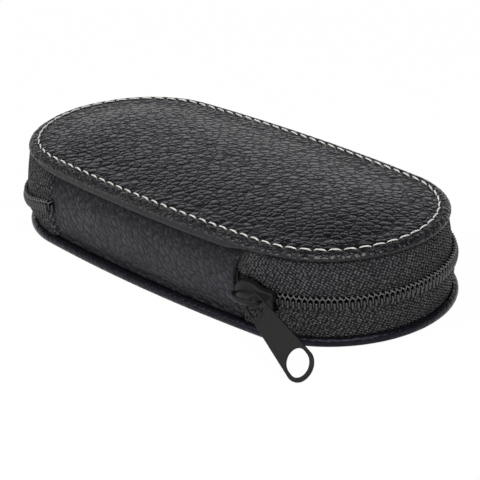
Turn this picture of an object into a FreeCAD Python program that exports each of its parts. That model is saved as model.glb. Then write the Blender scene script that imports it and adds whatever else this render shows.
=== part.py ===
import FreeCAD, Part
import math
import os
import Sketcher

# Zip-around pen case of padded leather, closed, standing on its flat bottom.
# Frame: origin at the middle of the bottom, +X along the case towards the slider's end,
# -Y towards the leather spine, +Z up. Millimetres.
# Every outline is the bottom rim's outline moved in by an inset.

SIZES = (
    ("case_length", 158.8, "bottom rim, end to end"),
    ("case_width", 72.2, "bottom rim, front to back"),
    ("end_radius", 34.3, "bottom rim, round ends"),
    ("base_thickness", 3.5, "bottom panel at its rim"),
    ("base_edge_round", 1.0, "rounding of the bottom rim"),
    ("lid_underside", 25.1, "height of the lid's lower face"),
    ("lip_thickness", 2.6, "lid at its rolled lip"),
    ("lip_inset", 1.3, "lip, in from the bottom rim"),
    ("lip_round_low", 0.8, "rounding under the lip"),
    ("lip_round_high", 1.3, "rounding over the lip"),
    ("leather", 0.8, "thickness of the panel leather"),
    ("turn_in", 7.0, "width of the leather turned over the boards"),
    ("stitch_inset", 4.4, "stitch line, in from the bottom rim"),
    ("stitch_seat", 1.0, "flat floor of the stitched valley"),
    ("stitch_dip", 0.6, "depth of the valley below the lip"),
    ("stitch_pitch", 4.15, "one stitch to the next"),
    ("stitch_length", 3.3, "visible thread of one stitch"),
    ("stitch_rise", 0.3, "arch of one stitch"),
    ("stitch_groove", 0.48, "groove that holds the stitches under the base"),
    ("thread", 0.7, "diameter of the topstitching thread"),
    ("crown_height", 2.5, "padded crown over the valley"),
    ("crown_reach", 22.0, "from the valley to the crown's flat middle"),
    ("board", 0.7, "lid stiffener"),
    ("base_board", 1.2, "bottom stiffener"),
    ("layer_gap", 0.05, "clearance between glued layers"),
    ("lining", 0.6, "inner lining"),
    ("lining_inset", 4.8, "panel linings, in from the bottom rim"),
    ("wall_inset", 2.2, "side wall where it meets the panels"),
    ("tape_inset", 1.1, "side wall at the zip chain"),
    ("tape", 0.8, "thickness of the zip tape"),
    ("tape_flat", 2.8, "upright strip of tape beside the chain"),
    ("tape_edge", 1.1, "chain centre to the tape's edge"),
    ("chain_height", 13.7, "chain centre over the table"),
    ("chain_half", 1.9, "chain centre to the coil's outer edge"),
    ("chain_mesh", 0.3, "how far a tooth passes the chain centre"),
    ("chain_gap", 0.15, "tooth tip to the facing coil"),
    ("coil_thickness", 1.5, "coil standing out of the tape"),
    ("tooth_pitch", 1.5, "one tooth to the next"),
    ("tooth_width", 0.62, "one tooth, along the chain"),
    ("spine_length", 85.0, "leather spine, end to end"),
    ("spine_shift", 2.6, "spine's middle, left of the case's"),
    ("spine_leather", 1.1, "thickness of the spine leather"),
    ("spine_bulge", 0.6, "outward swell of the spine"),
    ("seam_gap", 0.3, "spine to each panel, the fold line"),
    ("end_gap", 0.4, "spine to the ends of the tapes"),
    ("slider_clear", 0.8, "end of the tapes to the slider's shoulder"),
    ("slider_length", 13.4, "slider, shoulder to tail"),
    ("slider_shoulder", 9.2, "slider's wide end"),
    ("slider_tail", 6.2, "slider's narrow end"),
    ("slider_bend", 1.7, "slider's middle to the end of its wide part"),
    ("slider_neck", 2.7, "slider's middle to the start of its narrow part"),
    ("slider_plate", 1.0, "thickness of the slider's plates"),
    ("slider_play", 0.3, "slider to the chain and tape"),
    ("slider_sag", 0.8, "room for the chain's curve in the slider"),
    ("flange", 0.8, "thickness of the slider's flanges"),
    ("post_length", 3.2, "slider's dividing post, along the chain"),
    ("post_width", 1.6, "slider's dividing post, across the chain"),
    ("bridge_length", 9.4, "slider's bridge, along the chain"),
    ("bridge_width", 1.0, "slider's bridge, across the chain"),
    ("bridge_clear", 3.4, "room under the bridge"),
    ("bridge_bar", 1.0, "thickness of the bridge"),
    ("bridge_foot", 1.3, "bridge on the plate, along the chain"),
    ("bridge_slope", 1.2, "bridge's end, from its foot to its top"),
    ("bridge_hollow", 0.6, "bridge's inside, from its foot to its top"),
    ("pull_length", 32.6, "pull tab, bar to tip"),
    ("pull_narrow", 5.8, "pull tab at its bar"),
    ("pull_wide", 9.5, "pull tab at its tip"),
    ("pull_thickness", 0.8, "pull tab"),
    ("pull_bar", 0.9, "bar that turns in the bridge"),
    ("pull_rail", 0.65, "tab beside its eye"),
    ("pull_eye_length", 7.0, "eye, along the tab"),
    ("pull_hole_width", 7.3, "grip hole, across the tab"),
    ("pull_hole_length", 8.5, "grip hole, along the tab"),
    ("pull_rim", 1.3, "grip hole to the tip"),
    ("pull_corner", 4.4, "rounding of the tip's corners"),
    ("pull_head_corner", 0.7, "rounding of the bar's corners"),
    ("pull_bar_shift", 1.9, "bar, from the slider's middle to its tail"),
    ("pull_bar_rise", 2.25, "bar, over the slider's outer plate"),
    ("pull_yaw_angle", 17.9, "tab, turned away from the wall"),
    ("pull_droop_angle", 19.05, "tab, hanging below level"),
    ("pull_lean_angle", 52.5, "tab, leaning back on its length"),
    ("band_shift", 30.0, "pen band, middle of the case to its middle"),
    ("band_width", 18.0, "pen band, along the pens"),
    ("elastic", 1.0, "thickness of the elastic"),
    ("band_clear", 1.95, "spine's lining to the band"),
    ("loop_leg", 3.0, "upright sides of a pen loop"),
    ("loop_gap", 3.0, "sewn foot between two pen loops"),
    ("band_foot", 3.2, "sewn foot beyond the outer loops"),
    ("tack_width", 1.2, "bar tack, across the foot"),
    ("tack_height", 0.4, "bar tack over the elastic"),
    ("tack_margin", 1.5, "bar tack, short of the band's edges"),
)

# Share of the crown's reach and of its height, from the valley to the flat middle.
CROWN = ((0.0, 0.0), (0.07, 0.48), (0.25, 0.78), (0.57, 0.95), (1.0, 1.0))
PEN_LOOPS = 3

doc = FreeCAD.newDocument("pen_case")
sheet = doc.addObject("Spreadsheet::Sheet", "sizes")
for row, (alias, number, note) in enumerate(SIZES, 1):
    sheet.set(f"A{row}", note)
    sheet.set(f"B{row}", str(number))
    sheet.setAlias(f"B{row}", alias)
doc.recompute()


def value(expression):
    """Number that an expression on the sheet gives."""
    return float(sheet.evalExpression(expression))


# Outline of the bottom rim: end arcs on the X axis, long shallow arcs on the Y axis. The sides
# swell where the width is more than the round ends give, and are waisted where it is less.
END_CENTRE = "(sizes.case_length / 2 - sizes.end_radius)"
HALF_WIDTH = "(sizes.case_width / 2)"
SIDE_CENTRE = (f"(({END_CENTRE}^2 + {HALF_WIDTH}^2 - sizes.end_radius^2)"
               f" / (2 * ({HALF_WIDTH} - sizes.end_radius)) - {HALF_WIDTH})")

# Heights and insets that several pieces share.
LIP_TOP = "(sizes.lid_underside + sizes.lip_thickness)"
VALLEY = f"({LIP_TOP} - sizes.stitch_dip)"
LID_BOARD_LOW = "(sizes.lid_underside + sizes.leather)"
LID_BOARD_HIGH = f"({LID_BOARD_LOW} + sizes.board)"
CROWN_INSET = "(sizes.stitch_inset + sizes.stitch_seat / 2)"
BOARD_INSET = "(sizes.lip_inset + sizes.leather * 2)"
BASE_BOARD_HIGH = "(sizes.base_thickness - sizes.leather)"
BASE_BOARD_LOW = f"({BASE_BOARD_HIGH} - sizes.base_board)"
BASE_BOARD_INSET = "(sizes.leather * 2)"
FLOOR = "(sizes.base_thickness + sizes.lining)"
SPINE_LOW = "(sizes.base_thickness + sizes.seam_gap)"
SPINE_HIGH = "(sizes.lid_underside - sizes.seam_gap)"
SPINE_LEFT = "(-sizes.spine_length / 2 - sizes.spine_shift)"
SPINE_RIGHT = "(sizes.spine_length / 2 - sizes.spine_shift)"
TAPE_START = f"({SPINE_RIGHT} + sizes.end_gap)"
TAPE_STOP = f"({SPINE_LEFT} - sizes.end_gap)"


def plane_sketch(body, name, role="XY_Plane", offset=None):
    """Sketch on one of the body's own planes, moved along the plane's normal."""
    sketch = body.newObject("Sketcher::SketchObject", name)
    plane = next(item for item in body.Origin.OriginFeatures if item.Role == role)
    sketch.AttachmentSupport = [(plane, "")]
    sketch.MapMode = "FlatFace"
    if offset is not None:
        sketch.setExpression("AttachmentOffset.Base.z", offset)
    return sketch


def dimension(sketch, kind, places, expression):
    """Dimension bound to the sheet; a negative distance is measured the other way."""
    number = value(expression)
    if number < 0:
        places = places[2:] + places[:2]
        expression = f"-({expression})"
        number = -number
    index = sketch.addConstraint(Sketcher.Constraint(kind, *places, number))
    sketch.setExpression(f"Constraints[{index}]", expression)


def pin_point(sketch, line, end, across, along):
    """Fix one end of a line by its two distances from the sketch's origin."""
    for kind, expression, axis in (("DistanceX", across, -2), ("DistanceY", along, -1)):
        if expression == "0":
            sketch.addConstraint(Sketcher.Constraint("PointOnObject", line, end, axis))
        else:
            dimension(sketch, kind, (-1, 1, line, end), expression)


def oval_bends(inset):
    """Radii of an outline's end and side arcs, and the turn at which they meet.

    A waisted side has a negative radius."""
    end_centre, side_centre = value(END_CENTRE), value(SIDE_CENTRE)
    radius = value(f"sizes.end_radius - ({inset})")
    apart = math.copysign(math.hypot(end_centre, side_centre), side_centre)
    return radius, radius + apart, math.atan2(side_centre, end_centre) % math.pi


def oval_arcs(inset):
    """The four arcs of an outline: right end, back, left end and front."""
    end_centre, side_centre = value(END_CENTRE), value(SIDE_CENTRE)
    end_bend, side_bend, turn = oval_bends(inset)
    spans = (
        (end_centre, 0, end_bend, -turn, turn),
        (0, -side_centre, side_bend, turn, math.pi - turn),
        (-end_centre, 0, end_bend, math.pi - turn, math.pi + turn),
        (0, side_centre, side_bend, math.pi + turn, 2 * math.pi - turn),
    )
    arcs = []
    for x, y, bend, start, stop in spans:
        if bend < 0:
            start, stop = stop + math.pi, start + math.pi
        circle = Part.Circle(FreeCAD.Vector(x, y, 0), FreeCAD.Vector(0, 0, 1), abs(bend))
        arcs.append(Part.ArcOfCircle(circle, start, stop))
    return arcs


def add_oval(sketch, inset):
    """Closed outline of four tangent arcs, the rim's outline moved in by the inset."""
    places = [sketch.addGeometry(arc) for arc in oval_arcs(inset)]
    right, back, left, front = places
    # A waisted side's arc runs backwards, so its ends change places.
    begin, finish = (1, 2) if value(SIDE_CENTRE) > 0 else (2, 1)
    for one, end, other, start in ((right, 2, back, begin), (back, finish, left, 1),
                                   (left, 2, front, begin), (front, finish, right, 1)):
        sketch.addConstraint(Sketcher.Constraint("Tangent", one, end, other, start))
    sketch.addConstraint(Sketcher.Constraint("Equal", back, front))
    for arc, axis in ((right, -1), (left, -1), (back, -2)):
        sketch.addConstraint(Sketcher.Constraint("PointOnObject", arc, 3, axis))
    dimension(sketch, "DistanceX", (-1, 1, right, 3), END_CENTRE)
    dimension(sketch, "DistanceX", (left, 3, -1, 1), END_CENTRE)
    dimension(sketch, "DistanceY", (back, 3, -1, 1), SIDE_CENTRE)
    dimension(sketch, "Radius", (right,), f"sizes.end_radius - ({inset})")


def add_polygon(sketch, points):
    """Closed straight-sided outline with every corner fixed by expressions."""
    corners = [FreeCAD.Vector(value(x), value(y), 0) for x, y in points]
    first = None
    for corner, following in zip(corners, corners[1:] + corners[:1]):
        index = sketch.addGeometry(Part.LineSegment(corner, following))
        first = index if first is None else first
    count = len(points)
    for step, (x, y) in enumerate(points):
        sketch.addConstraint(
            Sketcher.Constraint("Coincident", first + step, 2, first + (step + 1) % count, 1))
        pin_point(sketch, first + step, 1, x, y)


def add_box(sketch, left, low, right, high):
    """Rectangle between two corners."""
    add_polygon(sketch, ((left, low), (right, low), (right, high), (left, high)))


def add_arch(sketch, middle, half_width, leg, low="0"):
    """Upright sides closed by a half circle, on a level base."""
    left, right = f"{middle} - ({half_width})", f"{middle} + ({half_width})"
    top = f"{low} + {leg}"
    corners = [FreeCAD.Vector(value(x), value(y), 0)
               for x, y in ((left, top), (left, low), (right, low), (right, top))]
    first = sketch.addGeometry(Part.LineSegment(corners[0], corners[1]))
    sketch.addGeometry(Part.LineSegment(corners[1], corners[2]))
    sketch.addGeometry(Part.LineSegment(corners[2], corners[3]))
    circle = Part.Circle(FreeCAD.Vector(value(middle), value(top), 0),
                         FreeCAD.Vector(0, 0, 1), value(half_width))
    arc = sketch.addGeometry(Part.ArcOfCircle(circle, 0, math.pi))
    for one, other in ((first, first + 1), (first + 1, first + 2), (first + 2, arc)):
        sketch.addConstraint(Sketcher.Constraint("Coincident", one, 2, other, 1))
    sketch.addConstraint(Sketcher.Constraint("Coincident", arc, 2, first, 1))
    for line, end, x, y in ((first, 1, left, top), (first + 1, 1, left, low),
                            (first + 2, 1, right, low), (first + 2, 2, right, top)):
        pin_point(sketch, line, end, x, y)
    dimension(sketch, "DistanceY", (-1, 1, arc, 3), top)


def add_slot(sketch, left, right, radius):
    """Round-ended slot along the sketch's X axis."""
    ends = (f"{left} + {radius}", f"{right} - {radius}")
    arcs = []
    for centre, start in ((ends[0], math.pi / 2), (ends[1], -math.pi / 2)):
        circle = Part.Circle(FreeCAD.Vector(value(centre), 0, 0), FreeCAD.Vector(0, 0, 1), value(radius))
        arcs.append(sketch.addGeometry(Part.ArcOfCircle(circle, start, start + math.pi)))
    left_arc, right_arc = arcs
    size = value(radius)
    low = sketch.addGeometry(Part.LineSegment(FreeCAD.Vector(value(ends[0]), -size, 0),
                                              FreeCAD.Vector(value(ends[1]), -size, 0)))
    high = sketch.addGeometry(Part.LineSegment(FreeCAD.Vector(value(ends[1]), size, 0),
                                               FreeCAD.Vector(value(ends[0]), size, 0)))
    joins = ((left_arc, low), (low, right_arc), (right_arc, high), (high, left_arc))
    for one, other in joins:
        sketch.addConstraint(Sketcher.Constraint("Tangent", one, 2, other, 1))
    for arc, centre in zip(arcs, ends):
        pin_point(sketch, arc, 3, centre, "0")
    dimension(sketch, "Radius", (left_arc,), radius)


def new_body(label):
    """Empty body for one sub-part."""
    body = doc.addObject("PartDesign::Body", label)
    body.Label = label
    return body


def oval_sketch(body, name, height, *insets):
    """Level sketch with one outline, or two for a ring."""
    sketch = plane_sketch(body, name, offset=height)
    for inset in insets:
        add_oval(sketch, inset)
    return sketch


def pad(body, name, sketch, length):
    """Solid raised from a sketch along its normal."""
    feature = body.newObject("PartDesign::Pad", name)
    feature.Profile = sketch
    feature.setExpression("Length", length)
    return feature


def pocket(body, name, sketch, length):
    """Cut from a sketch along its normal; it has to remove something."""
    doc.recompute()
    before = body.Shape.Volume
    feature = body.newObject("PartDesign::Pocket", name)
    feature.Profile = sketch
    feature.Reversed = True
    feature.setExpression("Length", length)
    doc.recompute()
    if not body.Shape.Volume < before:
        raise RuntimeError(f"{body.Label}: {name} cut nothing")
    return feature


def loft(body, name, sections, kind="Additive"):
    """Straight-sided loft through outlines given as inset and height."""
    sketches = [oval_sketch(body, f"{name}_outline_{step}", height, inset)
                for step, (inset, height) in enumerate(sections)]
    feature = body.newObject(f"PartDesign::{kind}Loft", name)
    feature.Profile = sketches[0]
    feature.Sections = sketches[1:]
    feature.Ruled = True
    return feature


def fillet(body, name, edges, radius):
    """Round the named edges of the body as it stands."""
    base = body.Tip
    feature = body.newObject("PartDesign::Fillet", name)
    feature.Base = (base, edges)
    feature.setExpression("Radius", radius)
    return feature


def edge_names(body, test):
    """Names of the edges of the body's present shape that pass a test."""
    doc.recompute()
    return [f"Edge{number}" for number, edge in enumerate(body.Tip.Shape.Edges, 1) if test(edge)]


def plate(label, low, thickness, inset):
    """Flat layer of a panel."""
    body = new_body(label)
    pad(body, "layer", oval_sketch(body, "outline", low, inset), thickness)
    return body


def crown_sections(inset, drop):
    """Outlines of the padded crown, moved in and down by a layer's thickness."""
    return [(f"{CROWN_INSET} + {inset} + {across} * sizes.crown_reach",
             f"{VALLEY} - {drop} + {up} * sizes.crown_height") for across, up in CROWN]


def foam_sections(inset, drop):
    """Outlines of the foam: level on the board, parallel to the crown above it."""
    upper = crown_sections(f"sizes.leather + {inset}", f"sizes.leather - {drop}")[1:]
    return [(f"{CROWN_INSET} + sizes.leather + {inset}", f"{LID_BOARD_HIGH} - {drop}")] + upper


# Lid: leather over foam and board, with a rolled lip and a stitched valley.

def lid_leather():
    body = new_body("lid_leather")
    low, high = "sizes.lip_round_low", "sizes.lip_round_high"
    corner = 1 - math.sqrt(0.5)
    lip = [
        (f"sizes.lip_inset + {low}", "sizes.lid_underside"),
        (f"sizes.lip_inset + {corner} * {low}", f"sizes.lid_underside + {corner} * {low}"),
        ("sizes.lip_inset", f"sizes.lid_underside + {low}"),
        ("sizes.lip_inset", f"{LIP_TOP} - {high}"),
        (f"sizes.lip_inset + {corner} * {high}", f"{LIP_TOP} - {corner} * {high}"),
        (f"sizes.lip_inset + {high}", LIP_TOP),
        ("sizes.stitch_inset - sizes.stitch_seat / 2", VALLEY),
    ]
    loft(body, "lip", lip)
    foot = (CROWN_INSET, f"{VALLEY} - sizes.leather / 2")
    loft(body, "crown", [foot] + crown_sections("0", "0"))
    opening = oval_sketch(body, "opening_outline", "sizes.lid_underside",
                          "sizes.lip_inset + sizes.turn_in")
    pocket(body, "opening", opening, "sizes.leather")
    pocket(body, "board_room", oval_sketch(body, "board_outline", LID_BOARD_LOW, BOARD_INSET),
           "sizes.board")
    loft(body, "foam_room", foam_sections("0", "0"), "Subtractive")
    return body


def lid_foam():
    body = new_body("lid_foam")
    sections = foam_sections("2 * sizes.layer_gap", "0")
    lowered = [(inset, f"{height} - sizes.layer_gap") for inset, height in sections[1:]]
    foot = (sections[0][0], f"{LID_BOARD_HIGH} + sizes.layer_gap")
    loft(body, "pad", [foot] + lowered)
    return body


def lid_layers():
    gap = "sizes.layer_gap"
    plate("lid_board", f"{LID_BOARD_LOW} + {gap}", f"sizes.board - 2 * {gap}", f"{BOARD_INSET} + {gap}")
    plate("lid_lining", "sizes.lid_underside - sizes.lining", "sizes.lining", "sizes.lining_inset")


# Base: the same build, flat, with a wider rim.

def base_leather():
    body = new_body("base_leather")
    pad(body, "skin", oval_sketch(body, "rim_outline", "0", "0"), "sizes.base_thickness")
    rim = edge_names(body, lambda edge: abs(edge.Vertexes[0].Z - edge.Vertexes[1].Z) < 1e-6)
    fillet(body, "rim_round", rim, "sizes.base_edge_round")
    groove = oval_sketch(body, "groove_outline", "0",
                         "sizes.stitch_inset - sizes.stitch_seat / 2 - sizes.layer_gap",
                         "sizes.stitch_inset + sizes.stitch_seat / 2 + sizes.layer_gap")
    pocket(body, "stitch_groove", groove, "sizes.stitch_groove")
    room = oval_sketch(body, "board_outline", "sizes.leather", BASE_BOARD_INSET)
    pocket(body, "board_room", room, f"{BASE_BOARD_HIGH} - sizes.leather")
    opening = oval_sketch(body, "opening_outline", BASE_BOARD_HIGH, "sizes.turn_in")
    pocket(body, "opening", opening, "sizes.leather")


def base_layers():
    gap = "sizes.layer_gap"
    inset = f"{BASE_BOARD_INSET} + {gap}"
    plate("base_foam", f"sizes.leather + {gap}", f"{BASE_BOARD_LOW} - sizes.leather - 2 * {gap}", inset)
    plate("base_board", BASE_BOARD_LOW, f"sizes.base_board - {gap}", inset)
    plate("base_lining", "sizes.base_thickness", "sizes.lining", "sizes.lining_inset")


# Topstitching: separate stitches at an even pitch along the stitch line.

def oval_place(inset, distance):
    """Point and direction on an outline, measured from the middle of the right end."""
    end_centre, side_centre = value(END_CENTRE), value(SIDE_CENTRE)
    radius, side_radius, turn = oval_bends(inset)
    sweep = math.pi - 2 * turn
    legs = (
        (turn * radius, end_centre, 0, radius, 0),
        (sweep * side_radius, 0, -side_centre, side_radius, turn),
        (2 * turn * radius, -end_centre, 0, radius, math.pi - turn),
        (sweep * side_radius, 0, side_centre, side_radius, math.pi + turn),
        (turn * radius, end_centre, 0, radius, -turn),
    )
    distance %= sum(leg[0] for leg in legs)
    for length, x, y, bend, start in legs:
        if distance <= length:
            break
        distance -= length
    angle = start + distance / bend
    point = FreeCAD.Vector(x + bend * math.cos(angle), y + bend * math.sin(angle), 0)
    return point, math.degrees(angle) + 90


def oval_length(inset):
    """Length of a whole outline."""
    radius, side_radius, turn = oval_bends(inset)
    return 4 * turn * radius + 2 * (math.pi - 2 * turn) * side_radius


def row_of(shape, inset, pitch, height, start=0.0, stop=None):
    """Copies of a shape along an outline, evenly spaced."""
    whole = oval_length(inset)
    span = whole if stop is None else stop - start
    count = max(1, round(span / pitch))
    copies = []
    for step in range(count):
        point, heading = oval_place(inset, start + (step + 0.5) * span / count)
        point.z = height
        copy = shape.copy()
        copy.Placement = FreeCAD.Placement(
            point, FreeCAD.Rotation(FreeCAD.Vector(0, 0, 1), heading))
        copies.append(copy)
    return copies


def new_feature(label, shape):
    """Sub-part whose shape is worked out here."""
    feature = doc.addObject("Part::Feature", label)
    feature.Label = label
    feature.Shape = shape
    return feature


def lid_topstitch():
    """Arched threads standing in the lid's valley."""
    half, rise = value("sizes.stitch_length / 2"), value("sizes.stitch_rise")
    thread = value("sizes.thread / 2")
    bend = (half * half + rise * rise) / (2 * rise)
    spread = math.degrees(math.asin(half / bend))
    centre, across = FreeCAD.Vector(0, 0, rise - bend), FreeCAD.Vector(0, 1, 0)
    section = Part.makeCircle(thread, FreeCAD.Vector(0, 0, rise), FreeCAD.Vector(1, 0, 0))
    section = Part.Face(Part.Wire(section))
    section.rotate(centre, across, -spread)
    stitch = section.revolve(centre, across, 2 * spread)
    seat = value(f"{VALLEY} + sizes.layer_gap + sizes.thread / 2")
    row = row_of(stitch, "sizes.stitch_inset", value("sizes.stitch_pitch"), seat)
    new_feature("lid_topstitch", Part.Compound(row))


def base_topstitch():
    """Flattened threads pressed into the groove under the base."""
    length, gap = value("sizes.stitch_length"), value("sizes.layer_gap")
    thick = value("sizes.stitch_groove") - 2 * gap
    wide = value("sizes.thread")
    corner = FreeCAD.Vector(-length / 2, -wide / 2, 0)
    row = row_of(Part.makeBox(length, wide, thick, corner), "sizes.stitch_inset",
                 value("sizes.stitch_pitch"), gap)
    new_feature("base_topstitch", Part.Compound(row))


# Side wall: leather spine in front, zip tapes round the other sides.

def wall_ring(body, sections, thickness):
    """Standing wall through outlines, hollowed by its thickness."""
    loft(body, "outer", sections)
    inner = [(f"{inset} + {thickness}", height) for inset, height in sections]
    loft(body, "inner", inner, "Subtractive")


def front_stretch(body, left, right):
    """Keep the front wall between two places and cut the rest away."""
    rest = plane_sketch(body, "rest_outline")
    add_box(rest, "-sizes.case_length", "-sizes.case_width", "sizes.case_length", "sizes.case_width")
    add_box(rest, left, "-0.75 * sizes.case_width", right, "-0.25 * sizes.case_width")
    pocket(body, "rest", rest, "2 * sizes.lid_underside")


def spine_strip(label, inset, thickness):
    """Front stretch of a swelling wall between the two fold lines."""
    body = new_body(label)
    swell = [(0.0, 0.0), (0.25, 0.75), (0.5, 1.0), (0.75, 0.75), (1.0, 0.0)]
    sections = [(f"sizes.wall_inset + {inset} - {out} * sizes.spine_bulge",
                 f"{SPINE_LOW} + {up} * ({SPINE_HIGH} - {SPINE_LOW})") for up, out in swell]
    wall_ring(body, sections, thickness)
    front_stretch(body, SPINE_LEFT, SPINE_RIGHT)


def front_window(body, name, left, right, low, high):
    """Opening cut through the front wall only."""
    sketch = plane_sketch(body, f"{name}_outline", "XZ_Plane")
    add_box(sketch, left, low, right, high)
    pocket(body, name, sketch, "sizes.case_width")


COIL_MIDDLE = "(sizes.tape_inset - (sizes.coil_thickness + sizes.layer_gap) / 2)"
SLIDER_TOP = "(sizes.chain_height + sizes.slider_shoulder / 2)"
TAPE_END_TOP = f"({SLIDER_TOP} + sizes.end_gap)"
SLIDER_X = f"({TAPE_START} + sizes.slider_clear + sizes.slider_length / 2)"
SLIDER_TAIL_X = f"({SLIDER_X} + sizes.slider_length / 2 + sizes.end_gap)"


def zip_tapes():
    edge, flat = "sizes.tape_edge", "sizes.tape_flat"
    upper = new_body("upper_zip_tape")
    wall_ring(upper, [("sizes.tape_inset", f"sizes.chain_height + {edge}"),
                      ("sizes.tape_inset", f"sizes.chain_height + {flat}"),
                      ("sizes.wall_inset", "sizes.lid_underside")], "sizes.tape")
    front_window(upper, "spine_window", TAPE_STOP, TAPE_START, "0", LIP_TOP)
    # The tape is relieved over the parked slider, so that the lid swings clear of it.
    front_window(upper, "slider_window", "0", SLIDER_TAIL_X, "0", f"{TAPE_END_TOP} + sizes.end_gap")
    # That end of the tape stays in the slider, a piece of its own.
    end = new_body("zip_tape_end")
    bend = f"(sizes.chain_height + {flat})"
    slope = f"(sizes.wall_inset - sizes.tape_inset) / (sizes.lid_underside - {bend})"
    wall_ring(end, [("sizes.tape_inset", f"sizes.chain_height + {edge}"),
                    ("sizes.tape_inset", bend),
                    (f"sizes.tape_inset + {slope} * ({TAPE_END_TOP} - {bend})", TAPE_END_TOP)],
              "sizes.tape")
    front_stretch(end, TAPE_START, f"{SLIDER_TAIL_X} - sizes.end_gap")
    lower = new_body("lower_zip_tape")
    wall_ring(lower, [("sizes.wall_inset", "sizes.base_thickness"),
                      ("sizes.tape_inset", f"sizes.chain_height - {flat}"),
                      ("sizes.tape_inset", f"sizes.chain_height - {edge}")], "sizes.tape")
    front_window(lower, "spine_window", TAPE_STOP, TAPE_START, "0", LIP_TOP)


def oval_wire(inset):
    """Closed wire of an outline at height zero."""
    return Part.Wire([arc.toShape() for arc in oval_arcs(inset)])


def front_distance(inset, x):
    """Distance along an outline from the right end, round the back, to the front at x."""
    end_centre = value(END_CENTRE)
    radius, side_radius, turn = oval_bends(inset)
    if x > end_centre + radius * math.cos(turn):
        return -math.acos((x - end_centre) / radius) * radius
    from_middle = math.asin(x / side_radius) * side_radius
    from_right = turn * radius + (math.pi / 2 - turn) * side_radius - from_middle
    return -from_right if x > 0 else oval_length(inset) - from_right


def zip_coil(label, side, first_x):
    """Comb of teeth on one tape: side is 1 for the upper coil, -1 for the lower."""
    face_inset = "sizes.tape_inset - sizes.layer_gap"
    outer_inset = "sizes.tape_inset - sizes.coil_thickness"
    height, mesh = value("sizes.chain_height"), value("sizes.chain_mesh")
    root = mesh + value("sizes.chain_gap")
    half = value("sizes.chain_half")
    depth = value(f"{face_inset} - ({outer_inset})")
    wires = [oval_wire(outer_inset), oval_wire(face_inset)]
    band = Part.Face(wires, "Part::FaceMakerBullseye").extrude(FreeCAD.Vector(0, 0, half - root))
    band.translate(FreeCAD.Vector(0, 0, height + (root if side > 0 else -half)))
    reach = value("sizes.case_length")
    last_x = value(TAPE_STOP)
    window = Part.makeBox(first_x - last_x, reach, reach, FreeCAD.Vector(last_x, -reach, -reach / 2))
    band = band.cut(window)
    width, pitch = value("sizes.tooth_width"), value("sizes.tooth_pitch")
    # A tooth runs from just inside its own band to just past the chain's centre.
    low, high = (-mesh, root + mesh) if side > 0 else (-root - mesh, mesh)
    tooth = Part.makeBox(width, depth, high - low, FreeCAD.Vector(-width / 2, -depth / 2, low))
    start, stop = front_distance(COIL_MIDDLE, first_x), front_distance(COIL_MIDDLE, last_x)
    # The lower teeth stand half a pitch further on, between the upper ones.
    shift = 0.0 if side > 0 else 0.5
    teeth = []
    for step in range(math.ceil(start / pitch) + 1, math.floor(stop / pitch) - 1):
        point, heading = oval_place(COIL_MIDDLE, (step + shift) * pitch)
        point.z = height
        copy = tooth.copy()
        copy.Placement = FreeCAD.Placement(
            point, FreeCAD.Rotation(FreeCAD.Vector(0, 0, 1), heading))
        teeth.append(copy)
    new_feature(label, band.multiFuse(teeth))


# Slider: two plates on a dividing post, flanges along the outer plate, and a bridge.

SLIDER_INNER = "(-sizes.tape - sizes.slider_sag - sizes.slider_play)"
SLIDER_OUTER = "(sizes.coil_thickness + sizes.slider_play)"
SLIDER_FACE = f"({SLIDER_OUTER} + sizes.slider_plate)"
POST_END = "(sizes.slider_plate + sizes.post_length - sizes.slider_length / 2)"


def slider_outline(margin, overrun):
    """Wide shoulder, narrow tail: corners of a plate or of the channel inside it."""
    end = f"(sizes.slider_length / 2 + {overrun})"
    wide, narrow = f"(sizes.slider_shoulder / 2 - {margin})", f"(sizes.slider_tail / 2 - {margin})"
    half = [(f"-{end}", wide), ("-sizes.slider_bend", wide), ("sizes.slider_neck", narrow), (end, narrow)]
    return [(x, f"-{z}") for x, z in half] + half[::-1]


def slider_placement():
    """Where the slider's middle sits on the chain, beside the spine, turned along its run."""
    point, heading = oval_place("sizes.tape_inset", front_distance("sizes.tape_inset", value(SLIDER_X)))
    point.z = value("sizes.chain_height")
    return FreeCAD.Placement(point, FreeCAD.Rotation(FreeCAD.Vector(0, 0, 1), heading))


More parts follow.
